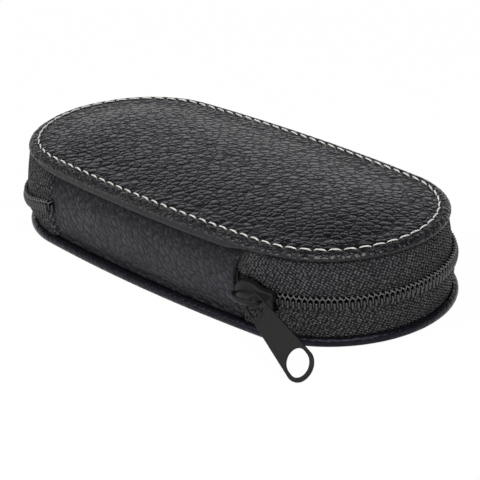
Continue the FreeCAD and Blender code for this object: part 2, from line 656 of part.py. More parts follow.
def slider():
    body = new_body("zip_slider")

    def layer(name, offset, length, points):
        sketch = plane_sketch(body, f"{name}_outline", "XZ_Plane", offset)
        add_polygon(sketch, points)
        return pad(body, name, sketch, length)

    layer("outer_plate", SLIDER_OUTER, "sizes.slider_plate", slider_outline("0", "0"))
    layer("flange_block", "sizes.slider_play", f"{SLIDER_OUTER} - sizes.slider_play",
          slider_outline("0", "0"))
    channel = plane_sketch(body, "channel_outline", "XZ_Plane", "sizes.slider_play")
    add_polygon(channel, slider_outline("sizes.flange", "sizes.end_gap"))
    pocket(body, "channel", channel, f"{SLIDER_OUTER} - sizes.slider_play")
    post = plane_sketch(body, "post_outline", "XZ_Plane", SLIDER_INNER)
    add_box(post, f"{POST_END} - sizes.post_length", "-sizes.post_width / 2",
            POST_END, "sizes.post_width / 2")
    pad(body, "post", post, f"{SLIDER_OUTER} - {SLIDER_INNER}")
    layer("inner_plate", f"{SLIDER_INNER} - sizes.slider_plate", "sizes.slider_plate",
          slider_outline("0", "0"))
    bridge = plane_sketch(body, "bridge_outline", offset="-sizes.bridge_width / 2")
    end, bar = "sizes.bridge_length / 2", "sizes.bridge_bar"
    low, under = f"-{SLIDER_FACE}", f"-({SLIDER_FACE} + sizes.bridge_clear)"
    top = f"{under} - {bar}"
    foot = f"{end} - sizes.bridge_foot"
    half = [(foot, low), (end, low), (f"{end} - sizes.bridge_slope", top)]
    inside = [(f"{foot} - sizes.bridge_hollow", under)]
    outline = half + [(f"-({x})", y) for x, y in half[::-1] + inside] + inside
    add_polygon(bridge, outline)
    pad(body, "bridge", bridge, "sizes.bridge_width")
    body.Placement = slider_placement()
    return body


def pull_placement():
    """Bar of the tab in the room under the bridge, the tab's tip down on the table."""
    out = value(f"{SLIDER_FACE} + sizes.pull_bar_rise")
    turn = FreeCAD.Rotation(-value("sizes.pull_yaw_angle"), value("sizes.pull_droop_angle"), value("sizes.pull_lean_angle"))
    seat = FreeCAD.Placement(FreeCAD.Vector(value("sizes.pull_bar_shift"), -out, 0), turn)
    return slider_placement().multiply(seat)


def pull_tab():
    body = new_body("pull_tab")
    low = "-sizes.pull_thickness / 2"
    outline = plane_sketch(body, "tab_outline", offset=low)
    start = "-sizes.pull_bar / 2"
    narrow, wide = "sizes.pull_narrow / 2", "sizes.pull_wide / 2"
    add_polygon(outline, ((start, f"-{narrow}"), ("sizes.pull_length", f"-{wide}"),
                          ("sizes.pull_length", wide), (start, narrow)))
    pad(body, "tab", outline, "sizes.pull_thickness")

    def at_end(edge, x):
        return all(abs(vertex.X - x) < 1e-6 for vertex in edge.Vertexes) and edge.Length < 2 * thick

    thick = value("sizes.pull_thickness")
    tip = edge_names(body, lambda edge: at_end(edge, value("sizes.pull_length")))
    fillet(body, "tip_round", tip, "sizes.pull_corner")
    head = edge_names(body, lambda edge: at_end(edge, value(start)))
    fillet(body, "head_round", head, "sizes.pull_head_corner")
    eye = plane_sketch(body, "eye_outline", offset=low)
    taper = f"(({wide} - {narrow}) / (sizes.pull_length + sizes.pull_bar / 2))"
    near, far = "sizes.pull_bar / 2", "(sizes.pull_bar / 2 + sizes.pull_eye_length)"
    near_half = f"({narrow} + {taper} * sizes.pull_bar - sizes.pull_rail)"
    far_half = f"({near_half} + {taper} * sizes.pull_eye_length)"
    add_polygon(eye, ((near, f"-{near_half}"), (far, f"-{far_half}"), (far, far_half), (near, near_half)))
    pocket(body, "eye", eye, "sizes.pull_thickness")
    hole = plane_sketch(body, "hole_outline", offset=low)
    add_slot(hole, "sizes.pull_length - sizes.pull_rim - sizes.pull_hole_length",
             "sizes.pull_length - sizes.pull_rim", "sizes.pull_hole_width / 2")
    pocket(body, "grip_hole", hole, "sizes.pull_thickness")
    body.Placement = pull_placement()
    return body


# Pen bands: elastic sewn down between its loops, one band near each end of the case.
# The loops share the width inside the spine's lining.

BAND_END = (f"({HALF_WIDTH} - sizes.wall_inset - sizes.spine_leather - sizes.layer_gap"
            " - sizes.lining - sizes.band_clear)")
LOOP_OUTER = (f"(({BAND_END} - sizes.band_foot - {(PEN_LOOPS - 1) / 2} * sizes.loop_gap)"
              f" / {PEN_LOOPS})")
LOOP_PITCH = f"(2 * {LOOP_OUTER} + sizes.loop_gap)"


def pen_band(label, side):
    body = new_body(label)
    start = f"{side} * sizes.band_shift - sizes.band_width / 2"
    end = BAND_END
    strip = plane_sketch(body, "strip_outline", "YZ_Plane", start)
    add_box(strip, f"-{end}", FLOOR, end, f"{FLOOR} + sizes.elastic")
    pad(body, "strip", strip, "sizes.band_width")
    middles = [f"{step - (PEN_LOOPS - 1) / 2} * {LOOP_PITCH}" for step in range(PEN_LOOPS)]
    arches = plane_sketch(body, "arch_outline", "YZ_Plane", start)
    rooms = plane_sketch(body, "room_outline", "YZ_Plane", start)
    for middle in middles:
        add_arch(arches, middle, LOOP_OUTER, "sizes.loop_leg", FLOOR)
        add_arch(rooms, middle, f"{LOOP_OUTER} - sizes.elastic", "sizes.loop_leg", FLOOR)
    pad(body, "arches", arches, "sizes.band_width")
    pocket(body, "rooms", rooms, "sizes.band_width")
    return body


def bar_tacks():
    """Dense stitching across each foot of both bands."""
    length = value("sizes.band_width - 2 * sizes.tack_margin")
    wide, tall = value("sizes.tack_width"), value("sizes.tack_height")
    low = value(f"{FLOOR} + sizes.elastic")
    pitch = value(LOOP_PITCH)
    end = value(f"{BAND_END} - sizes.band_foot / 2")
    feet = [-end, end] + [(step - (PEN_LOOPS - 2) / 2) * pitch for step in range(PEN_LOOPS - 1)]
    tacks = []
    for side in (-1, 1):
        left = side * value("sizes.band_shift") - length / 2
        for middle in feet:
            corner = FreeCAD.Vector(left, middle - wide / 2, low)
            tacks.append(Part.makeBox(length, wide, tall, corner))
    new_feature("pen_band_tacks", Part.Compound(tacks))


lid_leather()
lid_foam()
lid_layers()
base_leather()
base_layers()
lid_topstitch()
base_topstitch()
spine_strip("spine_leather", "0", "sizes.spine_leather")
spine_strip("spine_lining", "sizes.spine_leather + sizes.layer_gap", "sizes.lining")
zip_tapes()
zip_coil("upper_zip_coil", 1, value(SLIDER_TAIL_X))
zip_coil("lower_zip_coil", -1, value(f"{SLIDER_X} + {POST_END} + sizes.end_gap"))
slider()
pull_tab()
pen_band("pen_band_left", -1)
pen_band("pen_band_right", 1)
bar_tacks()
doc.recompute()

for item in doc.Objects:
    if "Invalid" in item.State or "Error" in item.State:
        raise RuntimeError(f"{item.Name}: {item.State}")

os.makedirs("parts", exist_ok=True)
for item in doc.Objects:
    if item.TypeId in ("PartDesign::Body", "Part::Feature") and item.getParentGeoFeatureGroup() is None:
        if item.Shape.isNull() or not item.Shape.isValid():
            raise RuntimeError(f"{item.Label}: bad shape")
        print(item.Label, len(item.Shape.Solids), round(item.Shape.Volume, 2))
        item.Shape.exportStep(f"parts/{item.Label}.step")
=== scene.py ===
import math

import bmesh
import bpy
from bpy.props import FloatProperty, FloatVectorProperty, IntProperty, PointerProperty
from mathutils import Matrix, Vector, noise


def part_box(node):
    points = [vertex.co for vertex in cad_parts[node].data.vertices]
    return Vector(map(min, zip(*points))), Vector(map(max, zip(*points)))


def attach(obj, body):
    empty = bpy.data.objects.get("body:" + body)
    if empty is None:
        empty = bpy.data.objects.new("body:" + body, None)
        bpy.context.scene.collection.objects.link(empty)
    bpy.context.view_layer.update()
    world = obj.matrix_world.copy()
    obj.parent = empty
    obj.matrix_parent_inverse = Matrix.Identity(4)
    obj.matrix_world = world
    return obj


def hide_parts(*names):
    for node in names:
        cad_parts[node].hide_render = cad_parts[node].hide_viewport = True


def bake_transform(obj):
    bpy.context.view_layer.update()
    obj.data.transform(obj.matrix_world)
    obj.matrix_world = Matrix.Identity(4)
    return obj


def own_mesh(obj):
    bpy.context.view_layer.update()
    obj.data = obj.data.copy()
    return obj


bl_info = {
    "name": "Leather Pen Case",
    "version": (1, 0, 0),
    "blender": (4, 5, 0),
    "location": "View3D > Sidebar > Pen Case",
    "description": "Dresses a zip-around pen case in leather, thread, tape and metal",
    "category": "Object",
}

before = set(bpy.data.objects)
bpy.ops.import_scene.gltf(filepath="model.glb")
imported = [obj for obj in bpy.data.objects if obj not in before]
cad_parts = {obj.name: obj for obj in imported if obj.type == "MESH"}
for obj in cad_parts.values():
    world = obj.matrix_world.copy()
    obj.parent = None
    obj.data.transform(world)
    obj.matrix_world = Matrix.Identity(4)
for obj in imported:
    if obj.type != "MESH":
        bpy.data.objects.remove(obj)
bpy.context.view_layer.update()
MM = 0.001
LID_LOW, LID_TOP = (corner.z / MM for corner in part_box("lid_leather"))
BASE_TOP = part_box("base_leather")[1].z / MM
LINING_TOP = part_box("base_lining")[1].z / MM
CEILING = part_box("lid_lining")[0].z / MM
SPINE_LOW, SPINE_HIGH = (corner.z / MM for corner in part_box("spine_leather"))
SPINE_LEFT, SPINE_RIGHT = (corner.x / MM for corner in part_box("spine_leather"))
BAND_LEFT, BAND_RIGHT = (corner.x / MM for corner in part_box("pen_band_right"))
BAND_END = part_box("pen_band_right")[1].y / MM


def length(name, description, default):
    """Length in millimetres that a user can change."""
    return FloatProperty(name=name, description=description, default=default, min=0.0)


def colour(name, description, default):
    """Colour that a user can change."""
    return FloatVectorProperty(name=name, description=description, default=default, size=3,
                               subtype="COLOR", min=0.0, max=1.0)


class CaseSizes(bpy.types.PropertyGroup):
    """Sizes of the case, in millimetres."""

    case_length: length("Length", "Bottom rim, end to end", 158.8)
    case_width: length("Width", "Bottom rim, front to back", 72.2)
    end_radius: length("End radius", "Round ends of the bottom rim", 34.3)
    stitch_inset: length("Stitch inset", "Stitch line, in from the bottom rim", 4.4)
    stitch_pitch: length("Stitch pitch", "One stitch to the next", 4.15)
    stitch_length: length("Stitch length", "Visible thread of one stitch", 4.05)
    thread: length("Thread", "Diameter of the topstitching thread", 0.5)
    leather: length("Spine leather", "Thickness of the spine's leather", 1.1)
    lining: length("Lining", "Thickness of the linings", 0.55)
    tape: length("Zip tape", "Thickness of the zip tape", 0.8)
    tape_inset: length("Tape inset", "Zip tape beside the chain, in from the bottom rim", 1.1)
    chain_height: length("Chain height", "Middle of the zip chain over the table", 13.7)
    tooth_pitch: length("Tooth pitch", "One tooth of a coil to the next", 1.6)
    elastic: length("Elastic", "Thickness of the pen bands", 1.0)
    loop_gap: length("Loop gap", "Sewn foot between two pen loops", 3.0)
    band_foot: length("Band foot", "Sewn foot beyond the outer loops", 3.2)
    pen_loops: IntProperty(name="Pen loops", description="Loops on each band", default=3, min=1)


class ZipSizes(bpy.types.PropertyGroup):
    """Sizes of the slider and its pull, in millimetres and degrees."""

    slider_length: length("Slider", "Shoulder to tail", 13.4)
    shoulder: length("Shoulder", "Slider's wide end", 7.8)
    tail: length("Tail", "Slider's narrow end", 5.4)
    plate: length("Plate", "Thickness of the slider's plates", 1.0)
    face: length("Face", "Tape to the slider's outer face", 2.8)
    bridge_length: length("Bridge", "Bridge along the chain", 9.4)
    bridge_rise: length("Bridge rise", "Top of the bridge over the slider's face", 4.4)
    pull_length: length("Pull", "Bar to tip", 32.6)
    pull_narrow: length("Pull head", "Pull tab at its bar", 5.8)
    pull_wide: length("Pull tip", "Pull tab at its tip", 9.5)
    pull_thickness: length("Pull thickness", "Pull tab", 0.8)
    pull_bar: length("Pull bar", "Bar that turns in the bridge", 0.9)
    eye_length: length("Eye", "Eye along the tab", 7.0)
    hole_width: length("Hole width", "Grip hole across the tab", 7.3)
    hole_length: length("Hole length", "Grip hole along the tab", 8.5)
    hole_rim: length("Hole rim", "Grip hole to the tip", 1.3)
    bar_shift: length("Bar shift", "Bar, from the slider's middle to its tail", 1.9)
    bar_rise: length("Bar rise", "Bar over the slider's outer plate", 2.25)
    yaw: FloatProperty(name="Yaw", description="Tab turned away from the wall", default=math.radians(17.9),
                       subtype="ANGLE")
    droop: FloatProperty(name="Droop", description="Tab hanging below level", default=math.radians(19.05),
                         subtype="ANGLE")
    lean: FloatProperty(name="Lean", description="Tab leaning back on its length",
                        default=math.radians(52.5), subtype="ANGLE")


class CaseColours(bpy.types.PropertyGroup):
    """Colours of the case."""

    leather: colour("Leather", "Panels", (0.0060, 0.0057, 0.0080))
    spine: colour("Spine", "Spine leather", (0.017, 0.0165, 0.0205))
    fibre: colour("Fibre", "Worn fibres on the spine", (0.095, 0.088, 0.074))
    thread: colour("Thread", "Topstitching", (0.86, 0.84, 0.79))
    tape: colour("Tape", "Zip tape", (0.017, 0.017, 0.018))
    coil: colour("Coil", "Zip coil", (0.026, 0.026, 0.028))
    metal: colour("Slider", "Paint of the slider and pull", (0.0078, 0.0076, 0.0075))
    lining: colour("Lining", "Inner lining", (0.028, 0.028, 0.031))
    elastic: colour("Elastic", "Pen bands", (0.016, 0.016, 0.018))
    foam: colour("Foam", "Padding inside the panels", (0.52, 0.50, 0.46))
    board: colour("Board", "Stiffeners inside the panels", (0.36, 0.31, 0.24))


def sizes():
    """Sizes set in the scene."""
    return bpy.context.scene.pen_case_sizes


def zip_sizes():
    """Slider and pull sizes set in the scene."""
    return bpy.context.scene.pen_case_zip


def colours():
    """Colours set in the scene."""
    return bpy.context.scene.pen_case_colours


# Outline and mesh helpers

class Outline:
    """The bottom rim's outline, in millimetres: round ends and long, slightly swollen sides.

    Distance runs from the middle of the right end, round the back, the left end and the front."""

    def __init__(self, inset=0.0):
        end, half = sizes().end_radius, sizes().case_width / 2
        self.centre = sizes().case_length / 2 - end
        self.side = (self.centre ** 2 + half ** 2 - end ** 2) / (2 * (half - end)) - half
        self.radius = end - inset
        self.side_radius = self.radius + math.hypot(self.centre, self.side)
        self.turn = math.atan2(self.side, self.centre)
        sweep = math.pi - 2 * self.turn
        self.legs = (
            (self.turn * self.radius, self.centre, 0, self.radius, 0),
            (sweep * self.side_radius, 0, -self.side, self.side_radius, self.turn),
            (2 * self.turn * self.radius, -self.centre, 0, self.radius, math.pi - self.turn),
            (sweep * self.side_radius, 0, self.side, self.side_radius, math.pi + self.turn),
            (self.turn * self.radius, self.centre, 0, self.radius, -self.turn),
        )
        self.total = sum(leg[0] for leg in self.legs)

    def place(self, distance):
        """Point on the outline and the direction out of the case."""
        distance %= self.total
        for reach, x, y, bend, start in self.legs:
            if distance <= reach:
                break
            distance -= reach
        angle = start + distance / bend
        out = Vector((math.cos(angle), math.sin(angle), 0))
        return Vector((x, y, 0)) + bend * out, out

    def front(self, x):
        """Distance to the place on the front side at x."""
        if x > self.centre + self.radius * math.cos(self.turn):
            return self.total - math.acos((x - self.centre) / self.radius) * self.radius
        from_middle = math.asin(x / self.side_radius) * self.side_radius
        quarter = self.turn * self.radius + (math.pi / 2 - self.turn) * self.side_radius
        return self.total - quarter + from_middle


def smooth(low, high, value):
    """Smooth step from 0 at low to 1 at high."""
    share = min(max((value - low) / (high - low), 0.0), 1.0)
    return share * share * (3 - 2 * share)


def curve_through(points, spans):
    """Points of a smooth curve through the given points, evenly many between each pair."""
    ends = [points[0]] + list(points) + [points[-1]]
    found = []
    for one, two, three, four in zip(ends, ends[1:], ends[2:], ends[3:]):
        for step in range(spans):
            t = step / spans
            found.append(tuple(
                b + 0.5 * t * (c - a + t * (2 * a - 5 * b + 4 * c - d + t * (3 * (b - c) + d - a)))
                for a, b, c, d in zip(one, two, three, four)))
    found.append(tuple(points[-1]))
    return found


def along(points, share):
    """Place at a share of the way through a list of points, by its index."""
    reach = share * (len(points) - 1)
    index = min(int(reach), len(points) - 2)
    rest = reach - index
    return tuple(a + rest * (b - a) for a, b in zip(points[index], points[index + 1]))


def finish_piece(name, bm, material):
    """Object from a bmesh in millimetres, with its place in its mesh."""
    bmesh.ops.scale(bm, vec=(MM, MM, MM), verts=bm.verts)
    mesh = bpy.data.meshes.new(name)
    for face in bm.faces:
        face.smooth = True
    bm.to_mesh(mesh)
    bm.free()
    mesh.materials.append(material)
    piece = bpy.data.objects.new(name, mesh)
    bpy.context.scene.collection.objects.link(piece)
    return piece


def sheet_mesh(columns, rows, place, pattern=None):
    """Grid laid through space: place and pattern take a share across and a share up."""
    bm = bmesh.new()
    bmesh.ops.create_grid(bm, x_segments=columns, y_segments=rows, size=0.5)
    if pattern:
        layer = bm.loops.layers.uv.new("pattern")
        for face in bm.faces:
            for loop in face.loops:
                loop[layer].uv = pattern(loop.vert.co.x + 0.5, loop.vert.co.y + 0.5)
    for vert in bm.verts:
        vert.co = place(vert.co.x + 0.5, vert.co.y + 0.5)
    return bm


def thicken(bm, thickness):
    """Give a sheet its thickness, inwards."""
    bmesh.ops.recalc_face_normals(bm, faces=bm.faces)
    bmesh.ops.solidify(bm, geom=bm.faces[:], thickness=thickness)


def oval_shell(columns, profile, shift=None):
    """Closed shell round the outline through a profile of insets and heights.

    Insets as large as the end radius meet on the middle line."""
    rim = Outline()

    def place(across, up):
        inset, height = along(profile, up)
        point, out = rim.place(across * rim.total)
        move = shift(across, inset, height) if shift else (0.0, 0.0)
        point -= (inset - move[0]) * out
        if inset >= rim.radius:
            point.y = 0
        point.z = height + move[1]
        return point

    bm = sheet_mesh(columns, len(profile) - 1, place)
    bmesh.ops.remove_doubles(bm, verts=bm.verts, dist=0.001)
    bmesh.ops.recalc_face_normals(bm, faces=bm.faces)
    return bm


def bead(bm, sides, rings, place):
    """Small closed form: place takes a point of a unit ball, its length along Z."""
    made = bmesh.ops.create_uvsphere(bm, u_segments=sides, v_segments=rings, radius=1.0)
    for vert in made["verts"]:
        vert.co = place(vert.co.copy())


def rod(bm, points, radius, sides=6, rings=8, flat=1.0, across=Vector((0, 0, 1)), girth=((1.0,), (1.0,))):
    """Round-ended bar along points, flattened across one direction, its girth a share of the radius."""
    path = [Vector(point) for point in points]

    def place(ball):
        share = math.acos(max(-1.0, min(1.0, -ball.z))) / math.pi
        point = Vector(along(path, share))
        ahead = Vector(along(path, min(share + 0.02, 1.0))) - Vector(along(path, max(share - 0.02, 0.0)))
        ahead.normalize()
        side = ahead.cross(across).normalized()
        other = side.cross(ahead)
        ring = Vector((ball.x, ball.y))
        full = max(ring.length, 1e-6)
        swell = min(1.0, full * 1.6) / full * radius * along(girth, share)[0]
        return point + swell * (ring.x * side + flat * ring.y * other)

    bead(bm, sides, rings, place)


def ride(piece, body, slot, *nodes):
    """Set a piece on its body in place of CAD nodes."""
    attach(piece, body)
    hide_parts(*nodes)
    return piece


# Shader maths and finishes

class Socket:
    """Number or vector on a node's output; sums add Math nodes."""

    def __init__(self, finish, output):
        self.finish = finish
        self.output = output

    def math(self, operation, *others):
        values = {0: self}
        for index, other in enumerate(others, 1):
            values[index] = other
        return self.finish.node("ShaderNodeMath", {"operation": operation}, values)

    def __add__(self, other):
        return self.math("ADD", other)

    def __sub__(self, other):
        return self.math("SUBTRACT", other)

    def __mul__(self, other):
        return self.math("MULTIPLY", other)

    def __rsub__(self, other):
        return self.finish.node("ShaderNodeMath", {"operation": "SUBTRACT"}, {0: other, 1: self})

    __radd__ = __add__
    __rmul__ = __mul__

    def between(self, low, high):
        """Smooth mask, 0 at low and 1 at high."""
        return self.finish.node("ShaderNodeMapRange", {"interpolation_type": "SMOOTHSTEP"},
                                {"Value": self, "From Min": low, "From Max": high})

    def wave(self, period):
        """Even wave from 0 to 1 with a period."""
        return (self * (2 * math.pi / period)).math("SINE") * 0.5 + 0.5


class Finish:
    """Procedural material with one principled shader."""

    def __init__(self, name, **steady):
        self.material = bpy.data.materials.new(name)
        self.material.use_nodes = True
        self.tree = self.material.node_tree
        self.tree.nodes.clear()
        self.shader = self.tree.nodes.new("ShaderNodeBsdfPrincipled")
        self.output = self.tree.nodes.new("ShaderNodeOutputMaterial")
        self.tree.links.new(self.shader.outputs[0], self.output.inputs["Surface"])
        for key, value in steady.items():
            self.shader.inputs[key.replace("_", " ")].default_value = value

    def node(self, kind, settings=None, values=None, output=0):
        """Node of a kind, with its settings made first and then its values or links."""
        made = self.tree.nodes.new(kind)
        for key, value in (settings or {}).items():
            setattr(made, key, value)
        for key, value in (values or {}).items():
            self.feed(made.inputs[key], value)
        return Socket(self, made.outputs[output])

    def feed(self, target, value):
        """Link or set one input."""
        if isinstance(value, Socket):
            self.tree.links.new(value.output, target)
        elif hasattr(value, "__len__") and len(value) == 3 and target.type == "RGBA":
            target.default_value = (*value, 1.0)
        else:
            target.default_value = value

    def set(self, **values):
        """Feed inputs of the shader."""
        for key, value in values.items():
            self.feed(self.shader.inputs[key.replace("_", " ")], value)
        return self.material

    def place(self, turn=(0, 0, 0), stretch=(1, 1, 1)):
        """Object coordinates in millimetres, turned and stretched."""
        coords = self.node("ShaderNodeTexCoord", output="Object")
        scale = tuple(factor * MM for factor in stretch)
        return self.node("ShaderNodeMapping", {"vector_type": "TEXTURE"},
                         {"Vector": coords, "Rotation": turn, "Scale": scale})

    def pattern(self):
        """The piece's own map: millimetres along and across its surface."""
        coords = self.node("ShaderNodeUVMap", {"uv_map": "pattern"})
        split = self.tree.nodes.new("ShaderNodeSeparateXYZ")
        self.tree.links.new(coords.output, split.inputs[0])
        return Socket(self, split.outputs[0]), Socket(self, split.outputs[1])

    def woven(self, turn, stretch):
        """The piece's own map, turned and stretched to one thread of a weave."""
        coords = self.node("ShaderNodeUVMap", {"uv_map": "pattern"})
        return self.node("ShaderNodeMapping", {"vector_type": "TEXTURE"},
                         {"Vector": coords, "Rotation": (0, 0, turn), "Scale": (*stretch, 1)})

    def height(self, coords):
        """Third coordinate of a vector."""
        return self.node("ShaderNodeSeparateXYZ", None, {0: coords}, output=2)

    def cloud(self, coords, size, detail=3.0, output=0, rough=0.5):
        """Soft noise with features of about a size."""
        return self.node("ShaderNodeTexNoise", None,
                         {"Vector": coords, "Scale": 1.0 / size, "Detail": detail, "Roughness": rough},
                         output=output)

    def warped(self, coords, size, reach):
        """Coordinates pushed about by noise."""
        push = self.cloud(coords, size, 2.0, output=1)
        push = self.node("ShaderNodeVectorMath", {"operation": "SUBTRACT"}, {0: push, 1: (0.5, 0.5, 0.5)})
        push = self.node("ShaderNodeVectorMath", {"operation": "SCALE"}, {0: push, "Scale": 2 * reach})
        return self.node("ShaderNodeVectorMath", {"operation": "ADD"}, {0: coords, 1: push})

    def cells(self, coords, size, feature="DISTANCE_TO_EDGE"):
        """Irregular cells of about a size: distance to their edge or middle."""
        return self.node("ShaderNodeTexVoronoi", {"feature": feature},
                         {"Vector": coords, "Scale": 1.0 / size})

    def mix(self, share, one, two):
        """Colour between two colours."""
        return self.node("ShaderNodeMix", {"data_type": "RGBA"}, {0: share, 6: one, 7: two}, output=2)

    def occlude(self, share, shade_colour):
        """Blend a diffuse colour in as painted shade, as in creases too deep to mirror anything."""
        shade_bsdf = self.tree.nodes.new("ShaderNodeBsdfDiffuse")
        self.feed(shade_bsdf.inputs["Color"], shade_colour)
        both = self.tree.nodes.new("ShaderNodeMixShader")
        self.feed(both.inputs[0], share)
        self.tree.links.new(self.shader.outputs[0], both.inputs[1])
        self.tree.links.new(shade_bsdf.outputs[0], both.inputs[2])
        self.tree.links.new(both.outputs[0], self.output.inputs["Surface"])

    def bump(self, height, depth):
        """Normal of a surface raised by a height of up to a depth in millimetres."""
        return self.node("ShaderNodeBump", None, {"Height": height, "Distance": depth * MM, "Strength": 1.0})


def tint(base, factor):
    """Colour made lighter or darker."""
    return tuple(min(1.0, channel * factor) for channel in base)


def pebbles(finish, coords, cell):
    """Rounded pebbles parted by narrow creases, with fine wrinkles over them."""
    pillow = finish.cells(coords, cell).between(0.0, 0.2)
    middle = finish.cells(coords, cell, "F1")
    wrinkle = finish.cells(coords, cell * 0.4).between(0.0, 0.2)
    return pillow * 0.4 + (1 - middle * middle) * 0.9 + wrinkle * 0.08, pillow


def panel_leather():
    """Pebbled black leather of the panels, drawn flatter over the rim, with painted shade in its creases."""
    base = colours().leather
    finish = Finish("panel_leather", Specular_IOR_Level=0.2, Specular_Tint=(0.76, 0.73, 1.0, 1.0))
    plain = finish.place()
    grain = finish.place((0, 0, math.radians(48)), (1.15, 0.9, 1.0))
    height, pillow = pebbles(finish, finish.warped(grain, 3.0, 0.5), 2.3)
    level = finish.height(plain)
    rim = level.between(0.1, 0.4) * (1 - level.between(3.0, 3.8))
    drift = finish.cloud(plain, 14.0, 2.0)
    crease = (1 - pillow.between(0.0, 0.8)) * (1 - rim * 0.7)
    # Painted shade in the creases.
    finish.occlude(crease * 0.5, tint(base, 0.6))
    return finish.set(
        Base_Color=finish.mix(drift, tint(base, 0.85), tint(base, 1.2)),
        Roughness=crease * 0.15 + 0.24,
        Normal=finish.bump(height * (1 - rim * 0.6), 0.27))


def edge_leather():
    """The same leather where it is rolled over the lid's edge: rubbed smoother, with short creases, and
    lighter in colour below; painted shade in the creases above and over the lower band.
    """
    base = colours().leather
    finish = Finish("edge_leather", Specular_IOR_Level=0.55)
    plain = finish.place()
    height, pillow = pebbles(finish, finish.warped(plain, 1.5, 0.6), 1.7)
    level = finish.height(plain)
    upper = level.between(LID_LOW + 0.2, LID_LOW + 0.9)
    crease = (1 - pillow.between(0.0, 0.7)) * upper
    # Painted shade: darker in the creases of the upper roll, and half shaded over the lower band.
    finish.occlude(crease * 0.6 * upper + (1 - upper) * 0.5, base)
    return finish.set(
        Base_Color=finish.mix(upper, tint(base, 1.5), tint(base, 0.9)),
        Roughness=crease * 0.2 + 0.27,
        Normal=finish.bump(height * (upper * 0.75 + 0.25), 0.22))


def spine_leather():
    """Finer leather of the spine: slanted creases, with pale curled wrinkles where it bends at the top;
    painted shade in the creases and a painted shadow of the lip over its upper part.
    """
    base = colours().spine
    finish = Finish("spine_leather", Specular_IOR_Level=0.34, Specular_Tint=(0.90, 0.88, 1.0, 1.0))
    plain = finish.place()
    coords = finish.warped(finish.place((0, math.radians(-52), 0), (1.0, 1.0, 1.7)), 1.8, 0.35)
    height, pillow = pebbles(finish, coords, 1.6)
    drift = finish.cloud(plain, 9.0, 2.0)
    crease = 1 - pillow.between(0.0, 0.8)
    level = finish.height(plain)
    ring = 1 - (finish.cells(finish.warped(plain, 2.0, 0.6), 2.2, "F1") - 0.42).math("ABSOLUTE") * 10
    arcs = ring.between(0.2, 0.9) * finish.cloud(plain, 2.6, 1.0).between(0.38, 0.5)
    worn = level.between(15.5, 18.0) * (1 - level.between(20.5, 22.5)) * arcs
    # Painted shadow of the lip over the spine's upper part; the occlusion below also paints shade in the
    # creases.
    lip_shadow = level.between(13.5, 22.0) * 0.6 * (1 - worn)
    finish.occlude(lip_shadow + crease * 0.35 * (1 - lip_shadow), tint(base, 0.7))
    skin = finish.mix(drift, tint(base, 0.8), tint(base, 1.25))
    return finish.set(
        Base_Color=finish.mix(worn * 0.42, skin, colours().fibre),
        Roughness=crease * 0.16 + 0.38,
        Normal=finish.bump(height + worn * 0.5, 0.34))


def woven_tape(name, base):
    """Coarse tape: short slanted floats of thread in uneven, staggered rows, with painted shade between the
    floats.
    """
    finish = Finish(name, Specular_IOR_Level=0.1)
    coords = finish.warped(finish.woven(math.radians(-27), (1.05, 0.78)), 2.5, 0.2)
    knots = finish.node("ShaderNodeTexVoronoi", {"voronoi_dimensions": "2D", "feature": "F1"},
                        {"Vector": coords, "Scale": 1.0, "Randomness": 0.4})
    floats = 1 - knots.between(0.1, 0.54)
    plain = finish.place()
    fuzz = finish.cloud(plain, 0.2, 3.0)
    drift = finish.cloud(plain, 1.0, 3.0, rough=0.7)
    skin = finish.mix(drift.between(0.35, 0.7), tint(base, 3.4), tint(base, 11.0))
    # Painted shade in the gaps between the floats.
    finish.occlude((1 - floats) * 0.9, tint(base, 0.6))
    return finish.set(
        Base_Color=skin,
        Roughness=0.6 - floats * 0.2,
        Normal=finish.bump(floats + fuzz * 0.3, 0.3))


def nylon_coil():
    base = colours().coil
    finish = Finish("nylon_coil", Specular_IOR_Level=0.6)
    coords = finish.place()
    streak = finish.cloud(coords, 0.5, 3.0)
    return finish.set(
        Base_Color=finish.mix(streak, tint(base, 0.7), tint(base, 1.5)),
        Roughness=streak * 0.12 + 0.22,
        Normal=finish.bump(streak, 0.03))


def sewing_thread(name, base, rough=0.6):
    """Twisted thread: slanted plies and loose fuzz."""
    finish = Finish(name, Sheen_Weight=0.2, Sheen_Roughness=0.5)
    coords = finish.place()
    fuzz = finish.cloud(coords, 0.16, 3.0)
    drift = finish.cloud(coords, 3.0, 2.0)
    skin = finish.mix(drift, tint(base, 0.9), tint(base, 1.08))
    return finish.set(
        Base_Color=finish.mix(fuzz.between(0.25, 0.6), tint(base, 0.72), skin),
        Roughness=fuzz * 0.2 + rough,
        Normal=finish.bump(fuzz, 0.08))


def painted_metal():
    """Black paint over a cast slider, thin and worn lighter in spots."""
    base = colours().metal
    finish = Finish("painted_metal", Specular_IOR_Level=0.22)
    coords = finish.place()
    orange = finish.cloud(coords, 0.45, 3.0)
    wear = finish.cloud(coords, 1.8, 5.0, rough=0.65).between(0.56, 0.75)
    return finish.set(
        Base_Color=finish.mix(wear * 0.5, base, tint(base, 1.9)),
        Roughness=0.40 + orange * 0.14 - wear * 0.06,
        Normal=finish.bump(orange, 0.025))


def napped_lining():
    base = colours().lining
    finish = Finish("napped_lining", Sheen_Weight=0.45, Sheen_Roughness=0.4, Specular_IOR_Level=0.2)
    coords = finish.place()
    nap = finish.cloud(coords, 0.28, 4.0)
    brushed = finish.cloud(finish.place(stretch=(3.3, 1, 1)), 5.0, 3.0)
    skin = finish.mix(brushed, tint(base, 0.75), tint(base, 1.35))
    return finish.set(
        Base_Color=finish.mix(nap, tint(base, 0.6), skin),
        Roughness=nap * 0.12 + 0.82,
        Normal=finish.bump(nap, 0.14))


